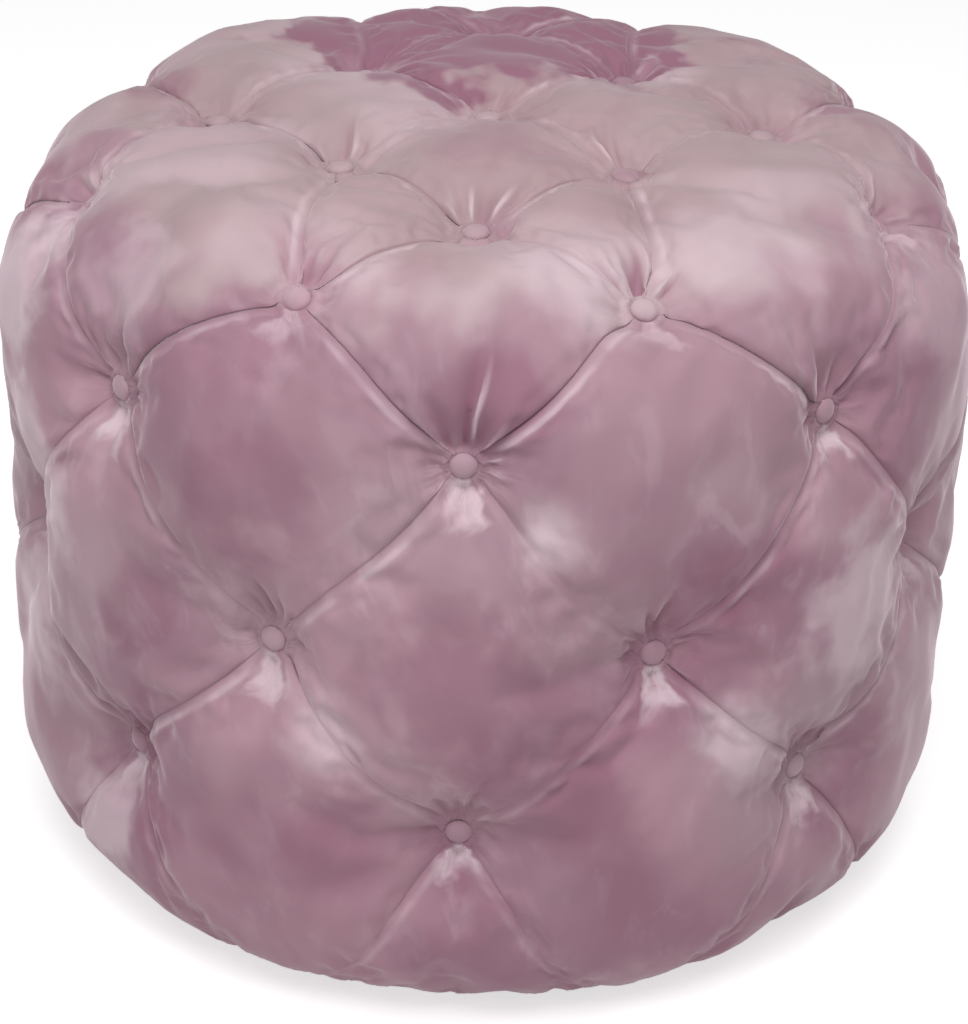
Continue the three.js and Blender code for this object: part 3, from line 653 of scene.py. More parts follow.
class Skin:
    """The velvet's surface over some pillows: points, and how the pile lies, with masks for painted
    light and shade: the gathers, whose valleys are painted deep and ridges pale, and the pale lip
    beside each pleat. A skin that is sunk, for the foam, has the pillows' form alone, without
    gathers, lines and leaning folds."""

    def __init__(self, form, cloth, profile, quarters, cells, sunk=0.0):
        shares = HALF * np.linspace(0, 1, cells + 1) ** GRID_POWER
        rng = np.random.default_rng(cloth.seed)
        chart = quarters.charts(form, shares)
        crown, _ = profile.surface(chart, 0.0)
        place, out = profile.surface(chart_points(*quarters.start.T), 0.0)
        across = level(quarters.start[:, 1])
        down = np.cross(across, out)
        offset = crown - place[:, None, None]
        sideways = np.einsum("qijk,qk->qij", offset, across)
        downwards = np.einsum("qijk,qk->qij", offset, down)
        away = np.hypot(sideways, downwards)
        around = np.arctan2(sideways, -downwards)
        is_button = (quarters.ring != FOOT)[:, None, None]
        clear = smooth(LINE_START, LINE_FULL, away)
        a, b = shares[None, :, None] / HALF, shares[None, None, :] / HALF
        within = (1 - a ** 4) * (1 - b ** 4)

        warp = np.stack([waves(crown, rng, *WARP_WAVES) for _ in range(2)], -1)
        run = np.hypot(chart[..., 0], chart[..., 1])
        foot_free = 1 - smooth(profile.foot_start, profile.hem_start, run)
        chart = chart + warp * cloth.pleat_wander * (clear * foot_free)[..., None]

        crease, rise = quarters.depths(shares, cloth.fullness)
        low = waves(crown, rng, *LOW_WAVES)
        fine = waves(crown, rng, *FINE_WAVES)
        wave = (low + FINE_SHARE * fine) * cloth.undulation * rise ** 1.5 * foot_free
        gather = gathers(cloth, quarters, around, away) * within * is_button

        pleats = zip(
            quarters.ends, quarters.flat, quarters.sharp,
            (crown[:, :, :1], crown[:, :1, :]), (b, a))
        line, lean, lip = np.zeros_like(away), np.zeros_like(crown), np.zeros_like(away)
        self.past = np.where(is_button, np.maximum(away - form.seat_radius, 0), np.inf)
        for end, flat, sharp, valley, other in pleats:
            past = np.linalg.norm(crown - valley, axis=-1)
            self.past = np.minimum(self.past, past)
            way = lean_ways(profile, quarters, end, flat)[:, None, None]
            below = np.einsum("qijk,qijk->qij", crown - valley, way + 0 * crown) > 0
            sharp = sharp[:, None, None] * (1 - other ** 2) ** 2 * foot_free
            line = np.maximum(line, sharp * np.exp(-past / cloth.crease_width))
            shift = past / cloth.fold_width * np.exp(1 - past / cloth.fold_width)
            shift = cloth.fold_lean * sharp * shift * smooth(LEAN_START, LEAN_FULL, away)
            lean = lean + way * shift[..., None]
            # The pale lip, on the pleat's lower side where the fold's edge faces up: painted
            # highlight.
            lip = lip + below * sharp * np.exp(-((past - LIP_PLACE) / LIP_WIDTH) ** 2)
        collar = cloth.collar * np.exp(-((away - COLLAR_PLACE) / COLLAR_WIDTH) ** 2) * is_button
        detail = 0.0 if sunk else 1.0
        depth = crease * (1 - rise) - wave + sunk + cloth.swell * rise
        depth = depth + detail * (gather - collar + cloth.crease_depth * line * clear)
        depth = np.maximum(depth, -MOST_RISE)

        points, _ = profile.surface(chart, depth)
        self.points = points + detail * lean
        # fold is the mask of painted light in the gathers: their valleys painted deep, their ridges
        # pale.
        self.fold = gather / cloth.gather_depth
        # lip is the mask of that painted highlight.
        self.lip = np.clip(lip, 0, 1) * clear
        self.reach = np.stack([sideways, -downwards], -1)
        # shown and near weight the pale patch below each button: partly brushed pile, partly
        # painted highlight.
        shown = np.array([BRUSHED_AND_LIT_SHARES[ring] for ring in quarters.ring])[:, None, None]
        self.near = within * shown * np.ones_like(away)
        self.chart = chart


def grid_faces(shape, flipped=False):
    """Quads of grids of points: shape[0] grids of shape[1] by shape[2]."""
    index = np.arange(math.prod(shape)).reshape(shape)
    corners = [index[:, :-1, :-1], index[:, 1:, :-1], index[:, 1:, 1:], index[:, :-1, 1:]]
    if flipped:
        corners = corners[:1] + corners[:0:-1]
    return np.stack(corners, -1).reshape(-1, 4)


def cubic_weights(fine, coarse):
    """A matrix that takes coarse + 1 even samples to fine + 1 by Catmull-Rom interpolation."""
    place = np.linspace(0, coarse, fine + 1)
    base = np.minimum(place.astype(int), coarse - 1)
    t = place - base
    parts = (
        (-1, (-t + 2 * t ** 2 - t ** 3) / 2), (0, (2 - 5 * t ** 2 + 3 * t ** 3) / 2),
        (1, (t + 4 * t ** 2 - 3 * t ** 3) / 2), (2, (t ** 3 - t ** 2) / 2),
    )
    weights = np.zeros((fine + 1, coarse + 1))
    for step, part in parts:
        np.add.at(weights, (np.arange(fine + 1), np.clip(base + step, 0, coarse)), part)
    return weights


def settle(form, cloth, profile, quarters):
    """How the velvet moves when Blender's Cloth lets it settle: wadding presses it outwards, it is
    a little too long, and the pleats, buttons and foot hold it. Gives the move of every point of
    the fine grid, taken from a coarse one, and no longer than the cap."""
    scene = bpy.context.scene
    skin = Skin(form, cloth, profile, quarters, cloth.coarse_cells)
    grid = skin.points.reshape(-1, 3)
    rounded = np.round(grid / SAME_PLACE).astype(np.int64)
    _, first, inverse = np.unique(rounded, axis=0, return_index=True, return_inverse=True)
    inverse = inverse.reshape(-1)
    faces = inverse[grid_faces(skin.points.shape[:3])].tolist()
    mesh = bpy.data.meshes.new("settling")
    mesh.from_pydata(grid[first], [], [face for face in faces if len(set(face)) == 4])
    obj = add_object("settling", mesh)
    held = 1 - smooth(0.25 * cloth.pinned, cloth.pinned, skin.past.reshape(-1)[first])
    pins = obj.vertex_groups.new(name="held")
    for index in np.nonzero(held > 0)[0].tolist():
        pins.add([index], float(held[index]), "REPLACE")
    change = obj.modifiers.new("Cloth", "CLOTH")
    for key, value in {
        "vertex_group_mass": "held", "quality": 6, "use_pressure": True,
        "uniform_pressure_force": cloth.pressure, "shrink_min": -cloth.slack,
        "tension_stiffness": 15.0, "compression_stiffness": 15.0, "shear_stiffness": 5.0,
        "bending_stiffness": 0.6,
    }.items():
        setattr(change.settings, key, value)
    change.settings.effector_weights.gravity = 0.0
    change.point_cache.frame_start, change.point_cache.frame_end = 1, cloth.frames
    for frame_number in range(1, cloth.frames + 1):
        scene.frame_set(frame_number)
    settled = obj.evaluated_get(bpy.context.evaluated_depsgraph_get()).data
    places = np.empty(len(settled.vertices) * 3, np.float32)
    settled.vertices.foreach_get("co", places)
    scene.frame_set(1)
    bpy.data.objects.remove(obj)
    bpy.data.meshes.remove(mesh)
    move = places.reshape(-1, 3).astype(float) - grid[first]
    size = np.linalg.norm(move, axis=-1, keepdims=True)
    move = move * np.tanh(size / cloth.cap) * cloth.cap / np.maximum(size, 1e-9)
    move = move[inverse].reshape(skin.points.shape)
    weights = cubic_weights(form.cells, cloth.coarse_cells)
    return np.einsum("ia,jb,qabk->qijk", weights, weights, move)


def foot_edge(values, quarters):
    """The values along the foot line, as half edges that run the same way round."""
    first, second = quarters.foot
    return np.concatenate([values[first][:, :, 0], values[second][:, 0, ::-1]])


def hem_strip(form, profile, skin, chart, quarters, rows=5):
    """The hem: from the foot line flat under the drum, at the angles of the foot line's points."""
    edge = foot_edge(chart, quarters)
    turn = np.arctan2(edge[..., 0], -edge[..., 1])
    run = profile.hem_start + form.hem_width * np.linspace(0, 1, rows + 1)
    run, turn = np.broadcast_arrays(run[None, None, :], turn[:, :, None])
    points, _ = profile.surface(chart_points(run, turn), 0.0)
    points[:, :, 0] = foot_edge(skin, quarters)
    return points, grid_faces(points.shape[:3], flipped=True)


# ---- Meshes ----


def mesh_from(name, points, faces, values=None, reach=None, merge=0.0):
    """A smooth mesh, in which points closer than merge are one. values are point attributes, and
    reach is a UV map, held by the faces' corners: where each point lies as seen from its button."""
    mesh = bpy.data.meshes.new(name)
    mesh.from_pydata(points, [], faces if isinstance(faces, list) else faces.tolist())
    for key, numbers in (values or {}).items():
        attribute = mesh.attributes.new(key, "FLOAT", "POINT")
        attribute.data.foreach_set("value", np.asarray(numbers, np.float32).ravel())
    if reach is not None:
        layer = mesh.uv_layers.new(name="button")
        layer.uv.foreach_set("vector", reach.astype(np.float32)[faces.ravel()].ravel())
    if merge:
        bm = bmesh.new()
        bm.from_mesh(mesh)
        bmesh.ops.remove_doubles(bm, verts=bm.verts, dist=merge)
        bm.to_mesh(mesh)
        bm.free()
    mesh.shade_smooth()
    mesh.update()
    return mesh


def dress(mesh, material):
    """Gives a mesh one material."""
    mesh.materials.clear()
    mesh.materials.append(material)


def add_object(name, data):
    """A new object of some data, in the scene."""
    obj = bpy.data.objects.new(name, data)
    bpy.context.scene.collection.objects.link(obj)
    return obj


def add_piece(name, mesh, material, nodes):
    """A piece of the tuffet: it rides on the root body and stands for CAD nodes."""
    obj = add_object(name, mesh)
    dress(mesh, material)
    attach(obj, "root")
    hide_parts(*nodes)
    return obj


def lathe(profile, sides, ripple=None):
    """A closed surface of revolution about Z: rings of the profile's (radius, height) points at
    equal angles, whose two ends lie on the axis. ripple scales the radius at a ring's points."""
    profile = np.asarray(profile, float)
    turn = np.linspace(0, 2 * math.pi, sides, endpoint=False)
    radius = profile[1:-1, 0][:, None] * np.ones(sides)
    if ripple is not None:
        radius = radius * ripple
    height = profile[1:-1, 1][:, None] * np.ones(sides)
    rings = np.stack([radius * np.cos(turn), radius * np.sin(turn), height], -1).reshape(-1, 3)
    ends = [[0, 0, profile[0, 1]], [0, 0, profile[-1, 1]]]
    points = np.concatenate([rings, ends])
    rows = len(profile) - 2
    index = np.arange(rows * sides).reshape(rows, sides)
    after = np.roll(index, -1, 1)
    quads = np.stack([index[:-1], after[:-1], after[1:], index[1:]], -1).reshape(-1, 4)
    first = np.stack([np.full(sides, rows * sides), after[0], index[0]], -1)
    last = np.stack([np.full(sides, rows * sides + 1), index[-1], after[-1]], -1)
    return points, quads.tolist() + first.tolist() + last.tolist()


# ---- Materials ----


class Nodes:
    """Adds nodes to a tree and links them as they are made."""

    def __init__(self, tree):
        self.tree = tree

    def add(self, kind, inputs=None, **settings):
        """The outputs of a new node, whose inputs are given as sockets or values."""
        node = self.tree.nodes.new(f"ShaderNode{kind}")
        for key, value in settings.items():
            setattr(node, key, value)
        self.feed(node, inputs or {})
        return node.outputs

    def feed(self, node, inputs):
        for key, value in inputs.items():
            socket = node.inputs[key]
            if isinstance(value, bpy.types.NodeSocket):
                self.tree.links.new(value, socket)
            elif socket.type == "RGBA" and len(value) == 3:
                socket.default_value = (*value, 1.0)
            else:
                socket.default_value = value

    def group(self, make, inputs):
        """The outputs of a node group, which make gives."""
        return self.add("Group", inputs, node_tree=make())

    def noise(self, vector, scale, detail=3.0, roughness=0.5, distortion=0.0):
        return self.add("TexNoise", {
            "Vector": vector, "Scale": scale, "Detail": detail,
            "Roughness": roughness, "Distortion": distortion,
        })["Fac"]

    def step(self, value, low, high, to_low=0.0, to_high=1.0):
        return self.add("MapRange", {
            "Value": value, "From Min": low, "From Max": high, "To Min": to_low, "To Max": to_high,
        }, interpolation_type="SMOOTHSTEP")["Result"]

    def cloud(self, vector, scale, roughness, distortion, most):
        """Noise between -most and most."""
        noise = self.noise(vector, scale, 3.0, roughness, distortion)
        return self.step(noise, 0.3, 0.7, -most, most)

    def math(self, operation, one, other=0.0):
        return self.add("Math", {0: one, 1: other}, operation=operation)[0]

    def plus(self, *values):
        return functools.reduce(lambda one, other: self.math("ADD", one, other), values)

    def times(self, *values):
        return functools.reduce(lambda one, other: self.math("MULTIPLY", one, other), values)

    def vector(self, operation, *vectors):
        return self.add("VectorMath", dict(enumerate(vectors)), operation=operation)

    def parts(self, vector):
        return self.add("SeparateXYZ", {"Vector": vector})

    def mix(self, factor, one, other):
        return self.add("Mix", {0: factor, 6: one, 7: other}, data_type="RGBA")[2]

    def scaled(self, vector, scale=(1.0, 1.0, 1.0), rotation=(0, 0, 0)):
        return self.add("Mapping", {"Vector": vector, "Scale": scale, "Rotation": rotation})[0]


def shader_group(name, inputs, outputs):
    """Turns a function that builds nodes and gives each output into one that gives their node
    group, made once. Inputs are named with their values, and one without a value is a vector."""
    def decorate(build):
        @functools.wraps(build)
        def make():
            if name in bpy.data.node_groups:
                return bpy.data.node_groups[name]
            group = bpy.data.node_groups.new(name, "ShaderNodeTree")
            sockets = [(key, value, "INPUT") for key, value in inputs.items()]
            sockets += [(key, () if key == "Color" else 0.0, "OUTPUT") for key in outputs]
            for key, value, way in sockets:
                kind = {type(None): "Vector", float: "Float", tuple: "Color"}[type(value)]
                socket = group.interface.new_socket(
                    key, in_out=way, socket_type=f"NodeSocket{kind}")
                if value and way == "INPUT":
                    socket.default_value = value
            nodes = Nodes(group)
            results = build(nodes, group.nodes.new("NodeGroupInput").outputs)
            nodes.feed(group.nodes.new("NodeGroupOutput"), results)
            return group

        return make

    return decorate


@shader_group(
    "Crushed nap", {"Vector": None, "Patch scale": 9.0, "Streak scale": 24.0, "Speck scale": 900.0},
    ("Patches", "Streaks", "Specks"))
def crushed_nap(nodes, given):
    """Crushed nap: broad patches, streaks in a drawn-out direction, and specks."""
    place = given["Vector"]
    broad = nodes.noise(place, given["Patch scale"], 2.0, 0.5, 0.2)
    drawn_out = nodes.scaled(place, (1.0, 1.0, 0.45))
    streaks = nodes.noise(drawn_out, given["Streak scale"], 3.0, 0.55, 0.5)
    specks = nodes.noise(place, given["Speck scale"], 2.0, 0.5)
    return {
        "Patches": nodes.step(broad, 0.40, 0.62),
        "Streaks": nodes.step(streaks, 0.42, 0.66),
        "Specks": nodes.step(specks, 0.3, 0.7),
    }


@shader_group(
    "Brushed nap and highlight", {"Reach": None, "Vector": None, "Spread": 0.55, "Length": 34 * MM},
    ("Patch", "Folds"))
def brushed_nap_and_highlight(nodes, given):
    """Round a button, from where a point lies as seen from it: the pale patch below it, a triangle
    with its tip at the button, partly brushed pile and partly painted highlight on the slope that
    faces the light, and the fine folds that run away from it."""
    beside, above = nodes.parts(given["Reach"])[:2]
    below = nodes.times(above, -1.0)
    ragged = nodes.cloud(given["Vector"], 45.0, 0.55, 0.4, 1.0)
    width, side = nodes.times(below, given["Spread"]), nodes.math("ABSOLUTE", beside)
    edge = nodes.plus(nodes.math("SUBTRACT", width, side), nodes.times(ragged, 4 * MM))
    end = nodes.plus(below, nodes.times(ragged, 7 * MM))
    patch = nodes.times(nodes.step(edge, -1.5 * MM, 3 * MM), nodes.step(below, 5 * MM, 10 * MM))
    fade = nodes.step(end, nodes.times(given["Length"], 0.55), given["Length"], 1.0, 0.0)
    distance = nodes.vector("LENGTH", given["Reach"])["Value"]
    turn = nodes.math("ARCTAN2", beside, above)
    ring = nodes.add("CombineXYZ", {
        "X": nodes.math("SINE", turn), "Y": nodes.math("COSINE", turn),
        "Z": nodes.times(distance, 12.0),
    })[0]
    spot = nodes.vector("ADD", ring, nodes.scaled(given["Vector"], (0.8, 0.8, 0.8)))[0]
    folds = nodes.step(nodes.noise(spot, 5.5, 2.0, 0.5), 0.3, 0.7)
    near = nodes.times(
        nodes.step(distance, 6 * MM, 10 * MM), nodes.step(distance, 12 * MM, 38 * MM, 1.0, 0.0))
    return {"Patch": nodes.times(patch, fade), "Folds": nodes.times(folds, near)}


@shader_group(
    "Painted light by height", {"Vector": None, "Rim": 0.402, "Border": 14 * MM}, ("Crown", "Belt", "Foot"))
def painted_light_by_height(nodes, given):
    """Painted light and shade by height, with soft cloudy borders: the crown above the rim buttons,
    for the painted sheen of the lit top, and the belt between them and the upper buttons and the
    foot, for painted shade."""
    cloud = nodes.cloud(given["Vector"], 14.0, 0.5, 0.4, 1.0)
    height = nodes.plus(nodes.parts(given["Vector"])["Z"], nodes.times(cloud, given["Border"]))
    crown = nodes.step(height, given["Rim"], nodes.plus(given["Rim"], 26 * MM))
    low = nodes.math("SUBTRACT", given["Rim"], 85 * MM)
    belt = nodes.step(height, low, nodes.plus(low, 40 * MM))
    belt = nodes.times(belt, nodes.math("SUBTRACT", 1.0, crown))
    return {"Crown": crown, "Belt": belt, "Foot": nodes.step(height, 30 * MM, 200 * MM, 1.0, 0.0)}


@shader_group("Tone spot", {
    "Vector": None, "Centre": None, "Radius": 0.04, "Amount": 0.0, "Ragged": 0.0, "Tone": 0.0,
}, ("Tone",))
def tone_spot(nodes, given):
    """One patch of tone, used for the crushed pile and for painted light and shade: adds its amount
    to the tone inside its ragged radius.
    """
    distance = nodes.vector("DISTANCE", given["Vector"], given["Centre"])["Value"]
    past = nodes.plus(nodes.math("DIVIDE", distance, given["Radius"]), given["Ragged"])
    inside = nodes.step(past, 0.3, 1.2, 1.0, 0.0)
    return {"Tone": nodes.plus(given["Tone"], nodes.times(inside, given["Amount"]))}


def nap_and_painted_light_tone(nodes, place, profile, seed):
    """The tone of every spot: those of the front, some of them painted shade and painted sheen, and
    drawn ones on the back.
    """
    rng = np.random.default_rng([seed, BACK_SPOTS])
    drawn = [
        (rng.uniform(85, 275), rng.uniform(250, 660), rng.uniform(30, 58), rng.choice([-0.4, 0.5]))
        for _ in range(BACK_SPOTS)
    ]
    ragged = nodes.cloud(place, 20.0, 0.55, 0.25, 0.36)
    tone = 0.0
    for degrees, run, radius, amount in (*NAP_AND_PAINTED_LIGHT_SPOTS, *drawn):
        chart = chart_points(np.array(run * MM), np.array(math.radians(degrees)))
        tone = nodes.group(tone_spot, {
            "Vector": place, "Centre": profile.surface(chart, 0.0)[0], "Radius": radius * MM,
            "Amount": amount, "Ragged": ragged, "Tone": tone,
        })["Tone"]
    return tone


@shader_group("Sawn grain", {
    "Vector": None, "Ring scale": 20.0, "Pore scale": 300.0,
    "Light": (0.7, 0.5, 0.3, 1), "Dark": (0.4, 0.25, 0.1, 1),
}, ("Color", "Height"))
def sawn_grain(nodes, given):
    """Wood grain: rings drawn out along one axis, with pores."""
    place = given["Vector"]
    bent = nodes.step(nodes.noise(place, 3.0, 2.0, 0.5, 0.3), 0.2, 0.8, 0.5, 1.0)
    wave = nodes.add("TexWave", {
        "Vector": place, "Scale": given["Ring scale"], "Distortion": 6.0,
        "Detail": 3.0, "Detail Scale": 1.2,
    })["Fac"]
    pores = nodes.noise(nodes.scaled(place, (1.0, 1.0, 0.06)), given["Pore scale"], 3.0, 0.6)
    rings = nodes.times(nodes.step(wave, 0.2, 1.0), bent)
    both = nodes.plus(nodes.times(rings, 0.7), nodes.times(pores, 0.4))
    tone = nodes.mix(nodes.step(both, 0.1, 0.9), given["Light"], given["Dark"])
    return {"Color": tone, "Height": both}


def new_material(name):
    """An empty material, its nodes and Object coordinates."""
    material = bpy.data.materials.new(name)
    material.use_nodes = True
    material.node_tree.nodes.clear()
    nodes = Nodes(material.node_tree)
    return material, nodes, nodes.add("TexCoord")["Object"]


def finish_shader(nodes, base, roughness, height, strength, depth, **more):
    """A Principled BSDF with a colour, a roughness, a bump of a height and more inputs."""
    bump = nodes.add("Bump", {"Height": height, "Strength": strength, "Distance": depth})[0]
    shader = nodes.add("BsdfPrincipled", {
        "Base Color": base, "Roughness": roughness, "Normal": bump,
        **{key.replace("_", " "): value for key, value in more.items()},
    })
    nodes.add("OutputMaterial", {"Surface": shader[0]})


def shaded(tone, share_):
    """A colour made lighter or darker."""
    return [min(1, channel * share_) for channel in tone]


def velvet_material(colours, profile, seed, name="Crushed velvet", paler=0.0):
    """Crushed velvet: patches of pile that lie flat, stand up or turn greyish, pale below each
    button where the pile is brushed up and a highlight is painted, with a sheen at its edges.
    Painted light and shade are
    mixed in: the lit crown is painted beige and pale, the belt and the foot deeper, the gathers'
    valleys deeper and their ridges and the pleats' lips paler, and some spots are painted shade and
    sheen."""
    material, nodes, place = new_material(name)
    moved = nodes.scaled(place, (1.3, 1.3, 1.0), (0.7, 0.4, 1.1))
    nap = nodes.group(crushed_nap, {"Vector": place})
    other = nodes.group(crushed_nap, {"Vector": moved, "Patch scale": 5.5, "Streak scale": 42.0})
    # worn here holds masks of painted light and shade by height: the lit crown, and the shaded belt
    # and foot.
    worn = nodes.group(painted_light_by_height, {"Vector": place})
    tone = nap_and_painted_light_tone(nodes, place, profile, seed)
    reach = nodes.add("UVMap", uv_map="button")["UV"]
    brushed = nodes.group(brushed_nap_and_highlight, {"Reach": reach, "Vector": place})
    near, lip, fold = (
        nodes.add("Attribute", attribute_name=key)["Fac"] for key in ("near", "lip", "fold"))
    streaks = nap["Streaks"]
    light = nodes.times(streaks, nodes.step(other["Streaks"], 0.0, 1.0, 0.2, 1.0))
    cloud = nodes.step(nodes.noise(moved, 6.5, 2.0, 0.45, 0.5), 0.42, 0.6)
    broken = nodes.step(nodes.noise(place, 30.0, 2.0, 0.5), 0.38, 0.62, 0.15, 0.7)
    # Painted shade: the belt below the rim buttons and the foot are painted deeper.
    low = nodes.math("MAXIMUM", nodes.times(worn["Belt"], 0.34), nodes.times(worn["Foot"], 0.4))
    deep, pale = colours.velvet_deep, colours.velvet_pale
    layers = (
        (nodes.times(nap["Patches"], 0.75), deep),
        (nodes.times(other["Patches"], 0.55), colours.velvet_grey),
        (nodes.times(light, 0.26), pale),
        # Painted highlight: the crown is painted beige, and pale in clouds, for the sheen of the
        # lit top.
        (nodes.times(worn["Crown"], 0.62), colours.velvet_top_sheen),
        (nodes.times(worn["Crown"], cloud, 0.34), pale),
        (low, deep),
        # Spots of the crushed pile's tone, with painted shade over the back of the top and in the
        # grid and rim buttons' seats, and painted sheen at the sides.
        (nodes.step(tone, 0.0, -0.7, 0.0, 0.95), deep),
        (nodes.step(tone, 0.0, 0.7, 0.0, 0.9), pale),
        # The pale patch below each button: partly brushed pile, partly painted highlight.
        (nodes.times(brushed["Patch"], near, 0.9), pale),
        # The pale lip beside each pleat: painted highlight.
        (nodes.times(lip, broken), pale),
        # Gathers: valleys painted deep, painted shade; ridges painted pale, painted highlight.
        (nodes.step(fold, 0.1, 1.0, 0.0, 0.75), deep),
        (nodes.step(fold, -0.1, -0.75, 0.0, 0.8), pale),
        (paler, pale),
    )
    base = colours.velvet
    for factor, over in layers:
        base = nodes.mix(factor, base, over)
    height = nodes.plus(
        nodes.times(nap["Specks"], 0.06), nodes.times(streaks, 0.32),
        nodes.times(nodes.times(brushed["Folds"], near), 1.6))
    finish_shader(
        nodes, base, nodes.step(streaks, 0.0, 1.0, 0.82, 0.7), height, 0.4, 0.9 * MM,
        Sheen_Weight=0.85, Sheen_Roughness=0.38, Sheen_Tint=(0.93, 0.80, 0.85),
        Specular_IOR_Level=0.18)
    return material


def foam_material(colours):
    """Open-cell foam: fine cells, slightly yellowed in patches."""
    material, nodes, place = new_material("Upholstery foam")
    cells = nodes.add("TexVoronoi", {"Vector": place, "Scale": 700.0})["Distance"]
    patches = nodes.noise(place, 12.0)
    base = nodes.mix(nodes.step(patches, 0.35, 0.7), colours.foam, shaded(colours.foam, 0.82))
    base = nodes.mix(nodes.step(cells, 0.0, 0.6, 0.35, 0.0), base, shaded(colours.foam, 0.5))
    finish_shader(nodes, base, nodes.step(patches, 0.0, 1.0, 0.9, 1.0), cells, 0.6, 0.6 * MM)
    return material


def lining_material(colours):
    """Non-woven lining: matt black with a pressed diamond grid and lint."""
    material, nodes, place = new_material("Non-woven lining")
    turned = nodes.scaled(place, rotation=(0, 0, math.radians(45)))
    checker = nodes.add("TexChecker", {"Vector": turned, "Scale": 420.0})["Fac"]
    lint = nodes.noise(place, 260.0, 4.0, 0.7)
    base = nodes.mix(nodes.step(lint, 0.5, 0.8, 0.0, 0.6), colours.lining, colours.lint)
    height = nodes.plus(nodes.times(checker, 0.5), lint)
    finish_shader(nodes, base, nodes.step(lint, 0.0, 1.0, 0.85, 1.0), height, 0.4, 0.25 * MM)
    return material


def wood_material(name, light, dark, rings, turn=(0, 0, 0), plies=0.0):
    """Sawn wood. With plies, thin dark layers show at the edge, stacked along Z."""
    material, nodes, place = new_material(name)
    base, grain = nodes.group(sawn_grain, {
        "Vector": nodes.scaled(place, rotation=turn), "Ring scale": rings,
        "Light": (*light, 1), "Dark": (*dark, 1),
    })
    if plies:
        layer = nodes.math("FRACT", nodes.math("DIVIDE", nodes.parts(place)["Z"], plies * 2))
        facing = nodes.parts(nodes.add("NewGeometry")["Normal"])["Z"]
        on_edge = nodes.step(nodes.math("ABSOLUTE", facing), 0.3, 0.7, 1.0, 0.0)
        base = nodes.mix(nodes.times(nodes.step(layer, 0.46, 0.54, 0.0, 0.8), on_edge), base, dark)
    finish_shader(nodes, base, nodes.step(grain, 0.0, 1.0, 0.62, 0.8), grain, 0.3, 0.3 * MM)
    return material


def hardboard_material(colours):
    """Hardboard: pressed brown fibre, smooth with a faint mottle."""
    material, nodes, place = new_material("Hardboard")
    fibre = nodes.noise(place, 500.0, 4.0, 0.7, 0.5)
    patches = nodes.step(nodes.noise(place, 18.0), 0.3, 0.7)
    base = nodes.mix(patches, colours.hardboard, shaded(colours.hardboard, 0.75))
    base = nodes.mix(nodes.step(fibre, 0.55, 0.75, 0.0, 0.5), base, shaded(colours.hardboard, 1.6))
    finish_shader(nodes, base, nodes.step(fibre, 0.2, 0.8, 0.5, 0.75), fibre, 0.3, 0.15 * MM)
    return material


def glide_material(colours):
    """Moulded plastic: fine texture, worn paler in patches."""
    material, nodes, place = new_material("Moulded plastic")
    worn = nodes.noise(place, 90.0, 4.0, 0.6)
    base = nodes.mix(nodes.step(worn, 0.55, 0.75, 0.0, 0.6), colours.glide, colours.glide_worn)
    texture = nodes.noise(place, 900.0, 2.0)
    finish_shader(nodes, base, nodes.step(worn, 0.3, 0.7, 0.42, 0.62), texture, 0.25, 0.1 * MM)
    return material


# ---- Operators ----


def tuffet_quarters(form):
    """The crown profile, the maker of knots and the pillows of each cover panel."""
    profile = Profile(form)
    knot = knot_maker(form, profile)
    quarter_turn = form.columns // 4
    return profile, knot, {
        "cover_top": top_pillows(form, knot),
        "cover_side_front": side_panel(form, knot, -quarter_turn),
        "cover_side_back": side_panel(form, knot, quarter_turn),
    }


class TUFFET_OT_cover(bpy.types.Operator):
    """Make the velvet cover in its three panels"""

    bl_idname = "tuffet.cover"
    bl_label = "Velvet cover"

    def execute(self, context):
        scene = context.scene
        form, cloth = scene.tuffet_form, scene.tuffet_cloth
        profile, _, panels = tuffet_quarters(form)
        quarters = Quarters(form, sum(panels.values(), []), cloth.seed)
        skin = Skin(form, cloth, profile, quarters, form.cells)
        skin.points = skin.points + settle(form, cloth, profile, quarters)
        material = velvet_material(scene.tuffet_colours, profile, cloth.seed)
        first = 0
        for node, panel in panels.items():
            chosen = (quarters.pillow >= first) & (quarters.pillow < first + len(panel))
            first += len(panel)
            grid, chart = skin.points[chosen], skin.chart[chosen]
            faces, points = grid_faces(grid.shape[:3]), grid.reshape(-1, 3)
            reach = skin.reach[chosen].reshape(-1, 2)
            marks = {key: getattr(skin, key)[chosen].ravel() for key in ("lip", "near", "fold")}
            if node != "cover_top":
                strip, more = hem_strip(form, profile, grid, chart, Quarters(form, panel))
                faces = np.concatenate([faces, more + len(points)])
                points = np.concatenate([points, strip.reshape(-1, 3)])
                blank = len(points) - len(reach)
                reach = np.pad(reach, ((0, blank), (0, 0)))
                marks = {key: np.pad(values, (0, blank)) for key, values in marks.items()}
            name = node.replace("cover", "velvet")
            mesh = mesh_from(name, points, faces, marks, reach, MERGE)
            piece = add_piece(name, mesh, material, [node])
            wall = piece.modifiers.new("Wadding", "SOLIDIFY")
            wall.thickness = form.cover_thickness
            wall.offset = -1.0
            wall.use_even_offset = False
        return {"FINISHED"}


def button_knots(form, knot):
    """The knots under the buttons, by the names of the buttons' nodes."""
    named = {"button_top_centre": Knot(0.0, 0.0, form.top_seat, GRID, CENTRE)}
    for i in range(form.columns):
        named[f"button_top_{i + 1}"] = knot(GRID, i)
        for ring, kind in ((RIM, "rim"), (UPPER, "upper"), (MIDDLE, "middle"), (LOWER, "lower")):
            named[f"button_{kind}_{i + 1}"] = knot(ring, 2 * i + ring % 2)
    return named


